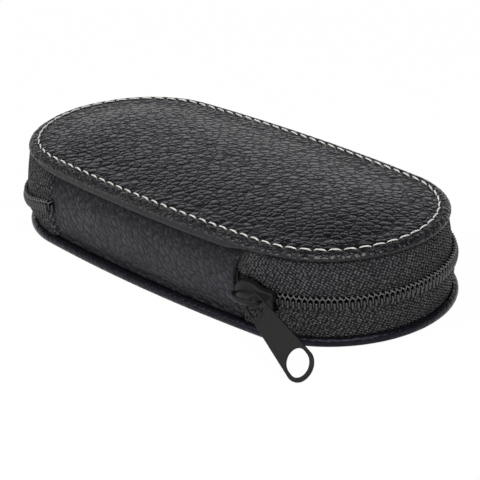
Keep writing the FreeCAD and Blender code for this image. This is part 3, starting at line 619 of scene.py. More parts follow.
def ribbed_elastic():
    """Elastic webbing: ribs along the band, crossed by fine weft."""
    base = colours().elastic
    finish = Finish("ribbed_elastic", Sheen_Weight=0.2, Sheen_Roughness=0.5, Specular_IOR_Level=0.3)
    across, run = finish.pattern()
    ribs = across.wave(1.1)
    weft = (run + across * 0.2).wave(0.55)
    coords = finish.place()
    fuzz = finish.cloud(coords, 0.2, 2.0)
    height = ribs * 0.7 + weft * 0.35 + fuzz * 0.2
    return finish.set(
        Base_Color=finish.mix(ribs * 0.6 + weft * 0.4, tint(base, 0.45), tint(base, 1.3)),
        Roughness=0.74 - ribs * 0.1,
        Normal=finish.bump(height, 0.22))


def open_foam():
    base = colours().foam
    finish = Finish("open_foam", Specular_IOR_Level=0.2)
    coords = finish.place()
    bubbles = finish.cells(coords, 0.9, "F1")
    return finish.set(
        Base_Color=finish.mix(bubbles.between(0.2, 0.7), tint(base, 1.1), tint(base, 0.6)),
        Roughness=bubbles * 0.1 + 0.85,
        Normal=finish.bump(bubbles, 0.3))


def fibre_board():
    base = colours().board
    finish = Finish("fibre_board", Specular_IOR_Level=0.25)
    coords = finish.place(stretch=(3, 1, 1))
    fibres = finish.cloud(coords, 1.6, 5.0)
    return finish.set(
        Base_Color=finish.mix(fibres, tint(base, 0.75), tint(base, 1.2)),
        Roughness=fibres * 0.15 + 0.75,
        Normal=finish.bump(fibres, 0.1))


# Lid and base

CENTRE_INSET = 34.3
LIP_LEFT, LIP_RIGHT = -60.0, 50.0
LINING_EDGE = 4.9


def panel_columns():
    """Columns round a panel, a whole number to each stitch."""
    return 8 * stitch_count()


def stitch_count():
    """Stitches round a panel."""
    return round(Outline(sizes().stitch_inset).total / sizes().stitch_pitch)


def lid_profile():
    """Underside, rolled lip, stitched valley and padded crown, as insets and heights."""
    low, top = LID_LOW, LID_TOP
    under = [(CENTRE_INSET, low + 0.1), (20.0, low + 0.1), (8.5, low + 0.1), (5.0, low + 0.06),
             (3.2, low + 0.03)]
    lip = [(2.4, low - 0.1), (1.9, low - 0.22), (1.5, low - 0.08), (1.28, low + 0.25), (1.22, low + 0.6),
           (1.34, low + 0.95), (1.65, low + 1.32), (2.0, low + 1.64), (2.4, low + 1.92), (2.9, low + 2.07),
           (3.4, low + 2.08), (3.8, low + 2.0), (4.1, low + 1.9), (4.4, low + 1.86)]
    crown = [(4.75, low + 1.93), (5.1, low + 2.04), (5.7, low + 2.19), (6.6, low + 2.34),
             (8.0, low + 2.53), (10.0, top - 1.93), (13.0, top - 1.5), (17.0, top - 0.98),
             (21.5, top - 0.5), (26.0, top - 0.19), (31.0, top - 0.03), (CENTRE_INSET, top)]
    return curve_through(under + lip + crown, 2)


def end_share(rim, across):
    """1 on the round ends, 0 on the long sides."""
    out = rim.place(across * rim.total)[1]
    return smooth(0.12, 0.45, abs(out.x))


def lid_shift():
    """Puckers at the stitches, pleats on the lip and a slow unevenness of the padding."""
    rim = Outline()
    count, stitched = stitch_count(), sizes().stitch_inset

    def shift(across, inset, height):
        between = 0.5 + 0.5 * math.cos(2 * math.pi * across * count)
        valley = math.exp(-((inset - stitched) / 0.9) ** 2)
        turn = across * 2 * math.pi
        wander = noise.noise(Vector((9 * math.cos(turn), 9 * math.sin(turn), 0.16 * inset)))
        pleat = noise.noise(Vector((74 * math.cos(turn), 52 * math.sin(turn), 0.5 * height)))
        on_lip = math.exp(-((inset - 1.9) / 0.8) ** 2) if height > LID_LOW + 0.4 else 0.0
        pleat *= on_lip * (0.08 + 0.10 * end_share(rim, across))
        puff = math.exp(-((inset - 7.0) / 2.6) ** 2) if height > LID_LOW + 2.0 else 0.0
        lift = 0.10 * wander * puff - 0.16 * between * valley + 0.5 * pleat
        return pleat + 0.05 * wander * on_lip, lift

    return shift


def lid_cover():
    bm = oval_shell(panel_columns(), lid_profile(), lid_shift())
    piece = finish_piece("lid_cover", bm, panel_leather())
    piece.data.materials.append(edge_leather())
    for face in piece.data.polygons:
        face.material_index = 1 if face.center.z < (LID_LOW + 2.0) * MM else 0
    return ride(piece, "lid", "leather", "lid_leather")


def front_lip():
    """Fuller roll of the lip over the spine."""
    rim = Outline()
    start, stop = rim.front(LIP_LEFT), rim.front(LIP_RIGHT)
    loop = curve_through([(1.75, 1.36), (1.36, 0.94), (1.2, 0.6), (1.18, 0.0), (1.25, -0.6), (1.5, -1.0),
                          (1.85, -0.95), (2.05, -0.5), (2.1, 0.3), (2.1, 1.2)], 3)

    def place(across, up):
        drop = 1.0 + 0.7 * smooth(0.0, 0.2, across) * (1 - smooth(0.85, 1.0, across))
        inset, height = loop[round(up * len(loop)) % len(loop)]
        turn = (start + across * (stop - start)) * 0.9
        pleat = 0.07 * noise.noise(Vector((turn, 0.8 * height, 3.0)))
        point, out = rim.place(start + across * (stop - start))
        share = smooth(0.0, 0.14, across) * (1 - smooth(0.86, 1.0, across))
        point -= (inset + pleat + 0.25 * (1 - share)) * out
        low = height if height > 0.9 else 0.9 - (0.9 - height) * (0.45 + 0.55 * share * drop)
        point.z = LID_LOW + low
        return point

    bm = sheet_mesh(300, len(loop), place)
    bmesh.ops.remove_doubles(bm, verts=bm.verts, dist=0.0005)
    bmesh.ops.holes_fill(bm, edges=[edge for edge in bm.edges if edge.is_boundary], sides=0)
    piece = finish_piece("front_lip", bm, bpy.data.materials["edge_leather"])
    ride(piece, "lid", "leather", "lid_leather")
    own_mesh(piece)
    return piece


def lid_padding():
    low, top = LID_LOW + 1.5, LID_TOP - 1.65
    profile = [(CENTRE_INSET, low), (14.0, low), (6.4, low), (6.2, low + 0.3), (7.2, top - 1.4),
               (9.5, top - 0.85), (13.5, top - 0.45), (20.0, top - 0.15), (CENTRE_INSET, top)]
    piece = finish_piece("lid_padding", oval_shell(180, profile), open_foam())
    return ride(piece, "lid", "foam", "lid_foam")


def base_profile():
    """Flat bottom with its stitched groove, rolled rim and turned edge."""
    top = BASE_TOP
    bottom = [(CENTRE_INSET, 0.0), (16.0, 0.0), (6.0, 0.0), (5.1, 0.03), (4.8, 0.3), (4.4, 0.4),
              (4.0, 0.3), (3.7, 0.03), (2.6, 0.0), (0.9, 0.0)]
    rim = [(0.2, 0.05), (-0.16, 0.25), (-0.36, 0.65), (-0.42, 1.1), (-0.36, 1.6), (-0.12, 2.05),
           (0.3, 2.38), (0.8, 2.5), (1.25, 2.42), (1.6, 2.1), (2.1, 1.95), (3.1, 1.95)]
    turned = [(3.5, 2.6), (3.9, top - 0.15), (4.4, top - 0.04), (6.0, top - 0.04), (16.0, top - 0.04),
              (CENTRE_INSET, top - 0.04)]
    return curve_through(bottom + rim + turned, 2)


def base_shift():
    """Uneven roll of the rim, with small pleats on the round ends."""
    rim = Outline()

    def shift(across, inset, height):
        turn = across * 2 * math.pi
        pleat = noise.noise(Vector((70 * math.cos(turn), 50 * math.sin(turn), 0.6 * height)))
        wander = noise.noise(Vector((8 * math.cos(turn), 8 * math.sin(turn), 0.3 * height)))
        on_rim = math.exp(-((inset - 0.5) / 0.6) ** 2) if height > 0.6 else 0.0
        pleat *= on_rim * (0.02 + 0.06 * end_share(rim, across))
        return pleat + 0.05 * wander * on_rim, 0.4 * pleat

    return shift


def base_cover():
    bm = oval_shell(panel_columns(), base_profile(), base_shift())
    piece = finish_piece("base_cover", bm, bpy.data.materials["panel_leather"])
    return ride(piece, "base", "leather", "base_leather")


def base_padding():
    low, top = 0.9, 1.45
    profile = [(CENTRE_INSET, low), (14.0, low), (2.1, low), (1.9, low + 0.25), (2.1, top),
               (14.0, top), (CENTRE_INSET, top)]
    piece = finish_piece("base_padding", oval_shell(180, profile), bpy.data.materials["open_foam"])
    return ride(piece, "base", "foam", "base_foam")


def base_stiffener():
    """Bottom board, inside the padded cover."""
    low, high = (corner.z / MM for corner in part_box("base_board"))
    profile = [(CENTRE_INSET, low), (14.0, low), (4.6, low), (4.4, low + 0.15), (4.4, high - 0.15),
               (4.6, high), (14.0, high), (CENTRE_INSET, high)]
    piece = finish_piece("bottom_board", oval_shell(180, profile), bpy.data.materials["fibre_board"])
    return ride(piece, "base", "board", "base_board")


def stitch_row(name, height, arch, slant, material):
    """Stitches round a panel, each a slack two-ply thread that dives at both ends."""
    size = sizes()
    line = Outline(size.stitch_inset)
    count = stitch_count()
    half, thick = size.stitch_length / 2, size.thread / 2
    bm = bmesh.new()
    for step in range(count):
        point, out = line.place((step + 0.5) * line.total / count)
        ahead = Vector((-out.y, out.x, 0))
        lean = slant + 0.05 * noise.noise(Vector((step * 1.7, 0.3, 0.0)))
        run = math.cos(lean) * ahead + math.sin(lean) * out
        side = math.cos(lean) * out - math.sin(lean) * ahead

        def place(ball):
            share = 1 - 2 * math.acos(max(-1.0, min(1.0, ball.z))) / math.pi
            angle = math.atan2(ball.y, ball.x)
            full = min(1.0, 1.6 * math.hypot(ball.x, ball.y))
            ply = thick * full * (1 + 0.12 * math.cos(2 * angle + 5.0 * share))
            bow = 0.16 * (1 - share ** 2)
            spot = point + share * half * run + (ply * math.cos(angle) - bow) * side
            spot.z = height + arch * (1 - abs(share) ** 3) + ply * math.sin(angle)
            return spot

        bead(bm, 7, 8, place)
    return finish_piece(name, bm, material)


def lid_stitches():
    thread = sewing_thread("pale_thread", colours().thread)
    seat = LID_LOW + 1.86 + 0.2 * sizes().thread
    piece = stitch_row("lid_stitches", seat, 0.42, 0.13, thread)
    return ride(piece, "lid", "thread", "lid_topstitch")


def base_stitches():
    seat = 0.04 + sizes().thread / 2
    piece = stitch_row("base_stitches", seat, -0.02, 0.13, bpy.data.materials["pale_thread"])
    return ride(piece, "base", "thread", "base_topstitch")


def lining_sheet(name, low, body, node):
    """Oval lining laid in a panel, its edge rolled under."""
    size = sizes()
    thick, edge = size.lining, LINING_EDGE
    profile = [(CENTRE_INSET, low), (15.0, low), (edge + 0.4, low), (edge, low + thick / 2),
               (edge + 0.4, low + thick), (15.0, low + thick), (CENTRE_INSET, low + thick)]

    def shift(across, inset, height):
        turn = across * 2 * math.pi
        swell = noise.noise(Vector((3 * math.cos(turn), 3 * math.sin(turn), 0.1 * inset)))
        return 0.12 * swell * smooth(9.0, 5.0, inset), 0.0

    piece = finish_piece(name, oval_shell(240, profile, shift), napped_lining_once())
    area = oval_area(Outline(edge))
    return ride(piece, body, "lining", node)


def oval_area(rim, steps=720):
    """Area inside an outline, in square millimetres."""
    spots = [rim.place(step * rim.total / steps)[0] for step in range(steps)]
    return 0.5 * sum(a.x * b.y - b.x * a.y for a, b in zip(spots, spots[1:] + spots[:1]))


def napped_lining_once():
    """The lining's finish, made once."""
    return bpy.data.materials.get("napped_lining") or napped_lining()


# Spine and zip tapes

SPINE_FOOT = 2.1


def spine_bulge(up):
    """Outward swell of the spine at a share of its height: fullest low down, drawn in at the top."""
    return 0.9 * math.sin(math.pi * max(up, 0.0) ** 0.75) - 1.1 * smooth(0.6, 1.0, up)


SPINE_RIGHT_EDGE = ((0.0, 0.8), (0.1, -0.6), (0.3, -1.3), (0.5, -1.5), (0.7, -0.5), (0.82, 0.8), (0.93, 2.0),
                    (1.0, 3.4))
SPINE_LEFT_EDGE = ((0.0, 0.4), (0.15, -0.5), (0.4, -1.0), (0.8, -1.1), (1.0, -1.3))


def spine_share(height):
    """Share of the spine's height."""
    return (height - SPINE_LOW) / (SPINE_HIGH - SPINE_LOW)


def edge_shift(edge, height):
    """How far one end of the spine stands off its place at a height."""
    up = spine_share(height)
    for (low, one), (high, two) in zip(edge, edge[1:]):
        if up <= high:
            return one + (two - one) * smooth(low, high, up)
    return edge[-1][1]


def front_wall(columns, rows, low, high, depth, trim=0.0):
    """Sheet between the spine's two shaped ends; depth gives its inset by share across and height."""
    rim = Outline()

    def place(across, up):
        height = low + up * (high - low)
        start = rim.front(SPINE_LEFT + edge_shift(SPINE_LEFT_EDGE, height) + trim)
        stop = rim.front(SPINE_RIGHT + edge_shift(SPINE_RIGHT_EDGE, height) - trim)
        point, out = rim.place(start + across * (stop - start))
        point -= depth(across, height) * out
        point.z = height
        return point

    return sheet_mesh(columns, rows, place)


def blend_spine(piece):
    """Bake a piece of the spine's leather where it stands, in place of the CAD spine."""
    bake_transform(piece)
    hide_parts("spine_leather")
    return piece


def spine_cover():
    wide = SPINE_RIGHT - SPINE_LEFT

    def depth(across, height):
        up = spine_share(height)
        edge = min(across, 1 - across) * wide
        fold = 0.35 * (1 - smooth(0.0, 1.2, edge)) - 0.16 * math.exp(-((edge - 2.0) / 0.8) ** 2)
        drape = noise.noise(Vector((across * 5.0, up * 2.2, 1.7)))
        crease = noise.noise(Vector((across * 17.0 + up * 3.0, up * 3.0, 4.1)))
        return 2.2 - spine_bulge(up) + fold - 0.14 * drape - 0.06 * crease

    bm = front_wall(120, 44, SPINE_FOOT, SPINE_HIGH, depth)
    thicken(bm, sizes().leather - 0.15)
    return blend_spine(finish_piece("spine_cover", bm, spine_leather()))


def spine_hinge():
    """Leather carried from the spine's top into the lid, so that the seam stays closed as the lid folds."""
    low, high = SPINE_HIGH - 2.0, LID_LOW + 0.5

    def depth(across, height):
        return 3.3 + 0.35 * (height - low) / (high - low)

    bm = front_wall(90, 16, low, high, depth, 0.3)
    thicken(bm, 0.4)
    piece = finish_piece("spine_hinge", bm, bpy.data.materials["spine_leather"])
    return blend_spine(piece)


def spine_lining():
    size = sizes()

    def depth(across, height):
        return 2.35 + size.leather - spine_bulge(spine_share(height))

    bm = front_wall(60, 16, SPINE_LOW, SPINE_HIGH, depth)
    thicken(bm, size.lining)
    piece = finish_piece("spine_lining_cloth", bm, napped_lining_once())
    return ride(piece, "spine", "lining", "spine_lining")


END_GAP = -1.0
WALL_INSET = 2.2
TAPE_FLAT, TAPE_EDGE = 2.8, 1.1
TAPE_FOOT = 2.2
NOTCH_END = 56.2
UPPER_COIL_START, LOWER_COIL_START = 54.6, 46.4
COIL_MIDDLE = 0.775


def chain_level(out):
    """Height of the zip chain on the side that faces out: level, but sagging round the left end."""
    return sizes().chain_height - 0.4 - 4.3 * smooth(-0.1, 0.65, -out.x)


def wall_swell(out, height):
    """How far the soft wall swells out of the left end, most at the chain."""
    reach = height - chain_level(out)
    return 2.0 * smooth(0.15, 0.8, -out.x) * math.exp(-(reach / (16.0 if reach > 0 else 5.0)) ** 2)


def wall_inset(height, middle):
    """Inset of the woven wall at a height: upright beside the chain's middle, drawn in to the panels."""
    size = sizes()
    foot = BASE_TOP if height < middle else LID_LOW
    bend = middle - TAPE_FLAT if height < middle else middle + TAPE_FLAT
    share = (height - bend) / (foot - bend)
    lean = smooth(-0.25, 1.25, share)
    belly = 0.12 * math.sin(math.pi * min(max(share, 0.0), 1.0))
    return size.tape_inset + (WALL_INSET - size.tape_inset) * lean - belly


def tuck(to_end):
    """How far the zip is drawn in where it runs under an end of the spine."""
    return 1.4 * (1 - smooth(0.8, 3.5, to_end))


def tape_ends(rim):
    """Distances at which the tapes start, at the slider's end of the spine, and stop."""
    return rim.front(SPINE_RIGHT + END_GAP) - rim.total, rim.front(SPINE_LEFT - END_GAP)


def tape_strip(knots, low, high, rows, sink=0.0):
    """Stretch of woven wall and its area: low and high give its edges at a distance along the rim.

    Knots are pairs of a column and its distance."""
    rim = Outline()
    columns = knots[-1][0]
    start, stop = tape_ends(rim)

    def distance_at(across):
        column = across * columns
        for (first, near), (last, far) in zip(knots, knots[1:]):
            if column <= last + 1e-6:
                return near + (far - near) * (column - first) / (last - first)

    def spread(across, up):
        distance = distance_at(across)
        bottom = low(distance)
        return distance, bottom + up * (high(distance) - bottom)

    def place(across, up):
        distance, height = spread(across, up)
        fray = 0.12 * noise.noise(Vector((0.0, height * 1.3, 5.0)))
        right_end = (edge_shift(SPINE_RIGHT_EDGE, height) + fray) * (1 - smooth(0.0, 7.0, distance - start))
        left_end = (edge_shift(SPINE_LEFT_EDGE, height) + fray) * (1 - smooth(0.0, 7.0, stop - distance))
        point, out = rim.place(distance + right_end + left_end)
        ripple = 0.06 * noise.noise(Vector((distance * 0.12, height * 0.15, 2.0)))
        depth = wall_inset(height, chain_level(out)) - wall_swell(out, height) + ripple + sink
        point -= (depth + tuck(min(distance - start, stop - distance))) * out
        point.z = height
        return point

    bm = sheet_mesh(columns, rows, place, spread)
    area = sum(face.calc_area() for face in bm.faces)
    thicken(bm, sizes().tape)
    return bm, area


def join(bm, other):
    """Add another bmesh's faces to a bmesh."""
    mesh = bpy.data.meshes.new("joined")
    other.to_mesh(mesh)
    other.free()
    bm.from_mesh(mesh)
    bpy.data.meshes.remove(mesh)


def zip_tapes():
    rim = Outline()
    tape = woven_tape("zip_tape", colours().tape)
    start, stop = tape_ends(rim)
    notch = rim.front(NOTCH_END) - rim.total

    def over_chain(distance):
        return chain_level(rim.place(distance)[1]) + TAPE_EDGE

    def under_chain(distance):
        return chain_level(rim.place(distance)[1]) - TAPE_EDGE

    def upper_low(distance):
        return over_chain(distance) + 2.9 * (1 - smooth(0.3, 1.0, (distance - start) / (notch - start)))

    end, _ = tape_strip(((0, start), (20, notch)), under_chain, lambda distance: upper_low(distance) + 0.6,
                        8, 1.0)
    # The tape's end under the upper tape's edge is coloured far darker than the tape: painted shade.
    shaded_tape = woven_tape("zip_tape_end", tint(colours().tape, 0.3))
    end = ride(finish_piece("tape_end", end, shaded_tape), "base", "tape", "zip_tape_end")
    long = (stop - start) * MM

    upper, area = tape_strip(((0, start), (24, notch), (440, stop)), upper_low, lambda distance: LID_LOW, 14)
    piece = finish_piece("upper_tape", upper, tape)
    area * MM * MM
    ride(piece, "lid", "tape", "upper_zip_tape")

    lower, area = tape_strip(((0, start), (440, stop)), lambda distance: TAPE_FOOT, under_chain, 14)
    piece = finish_piece("lower_tape", lower, tape)
    area * MM * MM
    ride(piece, "base", "tape", "lower_zip_tape")


# Zip coils

def chain_place(line, distance, out_by, height):
    """Point by the zip chain: distance along it, out from the tape's face, and height off its middle."""
    point, out = line.place(distance)
    middle = chain_level(out)
    drawn = 1.6 * tuck(line.front(SPINE_LEFT - END_GAP) - distance)
    point += (out_by + wall_swell(out, middle + height) - drawn) * out
    point.z = middle + height
    return point


def coil(side, first_x, radius, shape, girth):
    """Nylon coil: one bent bar a tooth, side 1 for the upper coil and -1 for the lower."""
    size = sizes()
    line, middle = Outline(size.tape_inset), Outline(size.tape_inset - COIL_MIDDLE)
    ratio = line.total / middle.total
    pitch = size.tooth_pitch
    start, stop = middle.front(first_x) - middle.total, middle.front(SPINE_LEFT - END_GAP)
    bm = bmesh.new()
    for step in range(math.ceil(start / pitch), math.floor(stop / pitch)):
        distance = (step + (0.0 if side > 0 else 0.5)) * pitch * ratio
        out = line.place(distance)[1]
        path = [chain_place(line, distance, out_by, height) for out_by, height in shape]
        rod(bm, path, radius, sides=6, rings=9, across=Vector((-out.y, out.x, 0)), girth=girth)
    return bm


def zip_coils():
    nylon = nylon_coil()
    stems = ((0.2, 1.0), (0.85, 1.0), (1.12, 0.65), (1.15, -0.2), (1.1, -0.9), (0.8, -1.3), (0.3, -1.35))
    upper = coil(1, UPPER_COIL_START, 0.34, stems, ((1.0,), (1.0,)))
    ride(finish_piece("upper_coil", upper, nylon), "lid", "coil", "upper_zip_coil")
    heads = ((0.1, -2.05), (0.75, -2.05), (1.2, -1.75), (1.34, -1.0), (1.36, -0.35), (1.2, -0.02),
             (0.6, 0.12))
    lower = coil(-1, LOWER_COIL_START, 0.42, heads, ((0.9,), (0.9,), (1.0,), (1.15,)))
    ride(finish_piece("lower_coil", lower, nylon), "base", "coil", "lower_zip_coil")
    # The coil's thread is coloured eight times lighter than the tape: a lighter thread, lightened further as
    # a painted highlight on its dashes.
    thread = sewing_thread("tape_thread", tint(colours().tape, 8.0), 0.35)
    ride(finish_piece("coil_thread", chain_thread(), thread), "lid", "tape", "upper_zip_coil")


# Two runs of the sewing thread over a tooth: share of a pitch along, out, and height.
DASH = ((0.05, 1.2, 0.85), (-0.25, 1.2, 1.2), (-0.56, 0.9, 1.5), (-0.66, 0.1, 1.6))
ARM = ((0.04, 1.2, 0.75), (0.2, 1.2, 1.0), (0.36, 0.9, 1.3), (0.42, 0.3, 1.45))


def chain_thread():
    """Sewing thread in a zigzag over the roots of the upper coil's teeth."""
    size = sizes()
    line, middle = Outline(size.tape_inset), Outline(size.tape_inset - COIL_MIDDLE)
    pitch = size.tooth_pitch * line.total / middle.total
    start, stop = line.front(UPPER_COIL_START) - line.total, line.front(SPINE_LEFT - END_GAP)
    bm = bmesh.new()
    for step in range(math.ceil(start / pitch), math.floor(stop / pitch)):
        out = line.place(step * pitch)[1]
        for path, thick in (DASH, 0.22), (ARM, 0.13):
            points = [chain_place(line, (step + ahead) * pitch, out_by, height)
                      for ahead, out_by, height in path]
            rod(bm, points, thick, sides=5, rings=6, across=Vector((-out.y, out.x, 0)))
    return bm


# Slider and pull

SLIDER_X = 47.8
SLIDER_DROP = 0.6


def slider_matrix():
    """Slider's middle on the chain: X along it to the tail, -Y out of the case."""
    line = Outline(sizes().tape_inset)
    point, out = line.place(line.front(SLIDER_X))
    point.z = sizes().chain_height
    heading = math.atan2(out.x, -out.y)
    return Matrix.Translation(point) @ Matrix.Rotation(heading, 4, "Z")


def pull_matrix():
    """Pull tab's bar: X along the tab, Y along the bar."""
    size = zip_sizes()
    seat = Matrix.Translation((size.bar_shift, -(size.face + size.bar_rise), 0))
    turn = (Matrix.Rotation(-size.yaw, 4, "Z") @ Matrix.Rotation(size.droop, 4, "Y")
            @ Matrix.Rotation(size.lean, 4, "X"))
    return slider_matrix() @ seat @ turn


def filled_plate(bm, loops, low, high):
    """Flat plate with holes: outlines in X and Y, filled and raised between two heights."""
    edges = []
    for loop in loops:
        verts = [bm.verts.new((x, y, low)) for x, y in loop]
        edges += [bm.edges.new(pair) for pair in zip(verts, verts[1:] + verts[:1])]
    filled = bmesh.ops.triangle_fill(bm, use_beauty=True, use_dissolve=False, edges=edges)
    faces = [item for item in filled["geom"] if isinstance(item, bmesh.types.BMFace)]
    raised = bmesh.ops.extrude_face_region(bm, geom=faces)
    top = [item for item in raised["geom"] if isinstance(item, bmesh.types.BMVert)]
    bmesh.ops.translate(bm, vec=(0, 0, high - low), verts=top)
    return [item for item in raised["geom"] if isinstance(item, bmesh.types.BMFace)]


def round_edges(bm, reach, segments=3, angle=50):
    """Bevel the sharp edges of a bmesh."""
    bmesh.ops.recalc_face_normals(bm, faces=bm.faces)
    sharp = [edge for edge in bm.edges
             if edge.is_manifold and edge.calc_face_angle() > math.radians(angle)]
    bmesh.ops.bevel(bm, geom=sharp, offset=reach, offset_type="OFFSET", segments=segments,
                    profile=0.5, affect="EDGES", material=-1, clamp_overlap=True)


def arc(x, y, radius, start, stop, steps):
    """Points on an arc, in degrees."""
    turns = [math.radians(start + (stop - start) * step / steps) for step in range(steps + 1)]
    return [(x + radius * math.cos(turn), y + radius * math.sin(turn)) for turn in turns]


def slider_half(x):
    """Half width of the slider's plates: round shoulder, taper and narrow tail."""
    size = zip_sizes()
    wide, narrow, nose = size.shoulder / 2, size.tail / 2, 0.58 - size.slider_length / 2
    taper = wide + (narrow - wide) * smooth(-0.8, 4.2, x)
    corner = 3.9
    if x < nose + corner:
        return taper * math.sqrt(max(1 - ((nose + corner - x) / corner) ** 2, 0.0004))
    return taper


def slider_shell():
    """Outer plate of the slider with its flanges: a domed channel, open to the chain."""
    size = zip_sizes()
    nose, tail = 0.7 - size.slider_length / 2, size.slider_length / 2 + 1.6
    bend, wall = 0.8, size.plate - 0.15

    def section(x, turn, inner):
        """Width and rise at a turn from the middle, 0, to the foot of a flange, 1."""
        half = slider_half(x) - inner
        foot = 0.32 + 1.5 * (1 - smooth(nose + 1.0, nose + 3.0, x))
        swell = 0.5 * smooth(nose - 0.5, nose + 3.5, x) * (1 - 0.85 * smooth(0.0, 5.0, x))
        face = size.face - 0.05 - inner
        reach = min(bend, 0.8 * half)
        if turn < 0.6:
            share = turn / 0.6
            return share * (half - reach), face + swell * (1 - share ** 2)
        if turn < 0.85:
            angle = (turn - 0.6) / 0.25 * math.pi / 2
            return half - reach * (1 - math.sin(angle)), face - reach * (1 - math.cos(angle))
        top = face - reach
        return half, top + (foot - top) * (turn - 0.85) / 0.15

    def place(across, up):
        x = nose + (tail - nose) * across ** 1.4
        outer = up < 0.5
        turn = 4 * up - 1 if outer else 3 - 4 * up
        width, rise = section(x, abs(turn), 0.0 if outer else wall)
        return Vector((x, math.copysign(width, turn), rise))

    bm = sheet_mesh(40, 80, place)
    bmesh.ops.remove_doubles(bm, verts=bm.verts, dist=0.0005)
    bmesh.ops.holes_fill(bm, edges=[edge for edge in bm.edges if edge.is_boundary], sides=0)
    return bm


def zip_slider():
    size = zip_sizes()
    metal = painted_metal()
    half = size.slider_length / 2
    bm = slider_shell()
    rows = [-half + 0.75 + (2 * half - 0.9) * step / 18 for step in range(19)]
    edge = [(x, slider_half(x) - 0.1) for x in rows]
    inner = bmesh.new()
    filled_plate(inner, [edge + [(x, -y) for x, y in edge[::-1]]], -2.9, -1.9)
    round_edges(inner, 0.25)
    join(bm, inner)
    post = bmesh.new()
    filled_plate(post, [[(-half + 1.7, -0.8), (-half + 4.7, -0.6), (-half + 4.7, 0.6), (-half + 1.7, 0.8)]],
                 -2.2, size.face - 0.5)
    round_edges(post, 0.2)
    join(bm, post)
    reach, top = size.bridge_length / 2, size.face + size.bridge_rise
    path = curve_through([(-reach + 0.1, size.face - 0.6), (-reach - 0.4, size.face + 1.0),
                          (-reach + 0.1, top - 1.9), (-reach + 1.4, top - 0.95), (-reach + 3.4, top - 0.62),
                          (reach - 2.9, top - 0.6), (reach - 1.3, top - 0.85), (reach - 0.2, top - 1.7),
                          (reach + 0.1, size.face + 1.2), (reach + 0.1, size.face - 0.4)], 3)
    rod(bm, [(x, 0, z) for x, z in path], 0.6, sides=16, rings=36, flat=1.75, across=Vector((0, 1, 0)),
        girth=((1.25,), (0.95,), (0.8,), (0.85,), (0.95,), (1.0,), (1.0,), (0.9,), (0.75,)))
    seat = Matrix.Translation((0, 0, -SLIDER_DROP)) @ slider_matrix() @ Matrix.Rotation(math.pi / 2, 4, "X")
    bmesh.ops.transform(bm, matrix=seat, verts=bm.verts)
    bmesh.ops.recalc_face_normals(bm, faces=bm.faces)
    return ride(finish_piece("slider", bm, metal), "slider", "slider_metal", "zip_slider")


def tab_half(along_tab):
    """Half width of the pull tab at a distance from its bar."""
    size = zip_sizes()
    start = -size.pull_bar / 2
    share = (along_tab - start) / (size.pull_length - start)
    return (size.pull_narrow + (size.pull_wide - size.pull_narrow) * share) / 2


def pull_tab():
    size = zip_sizes()
    start, rail = -size.pull_bar / 2, 0.7
    tip, corner, head = size.pull_length, 4.55, 2.3
    outer = (arc(start + head, tab_half(start) - head, head, 180, 92, 8)
             + arc(tip - corner, tab_half(tip) - corner, corner, 88, 0, 12))
    outer += [(x, -y) for x, y in outer[::-1]]
    near, crease = size.pull_bar / 2, size.pull_bar / 2 + size.eye_length
    far = crease - 0.9
    eye = (arc(near + 1.6, tab_half(near) - rail - 1.6, 1.6, 180, 92, 6)
           + arc(far - 1.9, tab_half(far) - rail - 1.9, 1.9, 88, 0, 6))
    eye += [(x, -y) for x, y in eye[::-1]]
    round_end = size.hole_width / 2
    left, right = tip - size.hole_rim - size.hole_length, tip - size.hole_rim
    hole = (arc(left + round_end, 0, round_end, 90, 270, 16)
            + arc(right - round_end, 0, round_end, -90, 90, 16))
    bm = bmesh.new()
    low, high = -size.pull_thickness / 2, size.pull_thickness / 2
    filled_plate(bm, [outer, eye, hole], low, high)
    round_edges(bm, 0.2, 3)
    for place in (crease - 0.12, crease, crease + 0.12):
        bmesh.ops.bisect_plane(bm, geom=bm.verts[:] + bm.edges[:] + bm.faces[:], dist=1e-5,
                               plane_co=(place, 0, 0), plane_no=(1, 0, 0))
    for vert in bm.verts:
        if vert.co.z > 0.1 and abs(vert.co.x - crease) < 0.05:
            vert.co.z -= 0.2
    bmesh.ops.transform(bm, matrix=pull_matrix(), verts=bm.verts)
    bmesh.ops.recalc_face_normals(bm, faces=bm.faces)
    piece = finish_piece("pull", bm, bpy.data.materials["painted_metal"])
    for face in piece.data.polygons:
        face.use_smooth = face.area < 0.3 * MM * MM
    return ride(piece, "pull", "slider_metal", "pull_tab")


# Pen bands

def loop_half():
    """Half the outer width of a pen loop."""
    size = sizes()
    return (BAND_END - size.band_foot - (size.pen_loops - 1) / 2 * size.loop_gap) / size.pen_loops


def band_path():
    """Line of a band across the case, through its feet and loops, at the middle of its thickness."""
    size = sizes()
    half = size.elastic / 2
    floor = LINING_TOP + half
    count, outer = size.pen_loops, loop_half()
    radius, leg = outer - half, 3.0
    points = [(-BAND_END, floor)]
    for step in range(count):
        middle = (step - (count - 1) / 2) * (2 * outer + size.loop_gap)
        points += [(middle - radius - 0.5, floor), (middle - radius - 0.05, floor + 0.35),
                   (middle - radius, floor + 1.2)]
        points += [(middle + y, LINING_TOP + leg + z)
                   for y, z in arc(0, 0, radius, 180, 0, 16)]
        points += [(middle + radius, floor + 1.2), (middle + radius + 0.05, floor + 0.35),
                   (middle + radius + 0.5, floor)]
    points.append((BAND_END, floor))
    return points


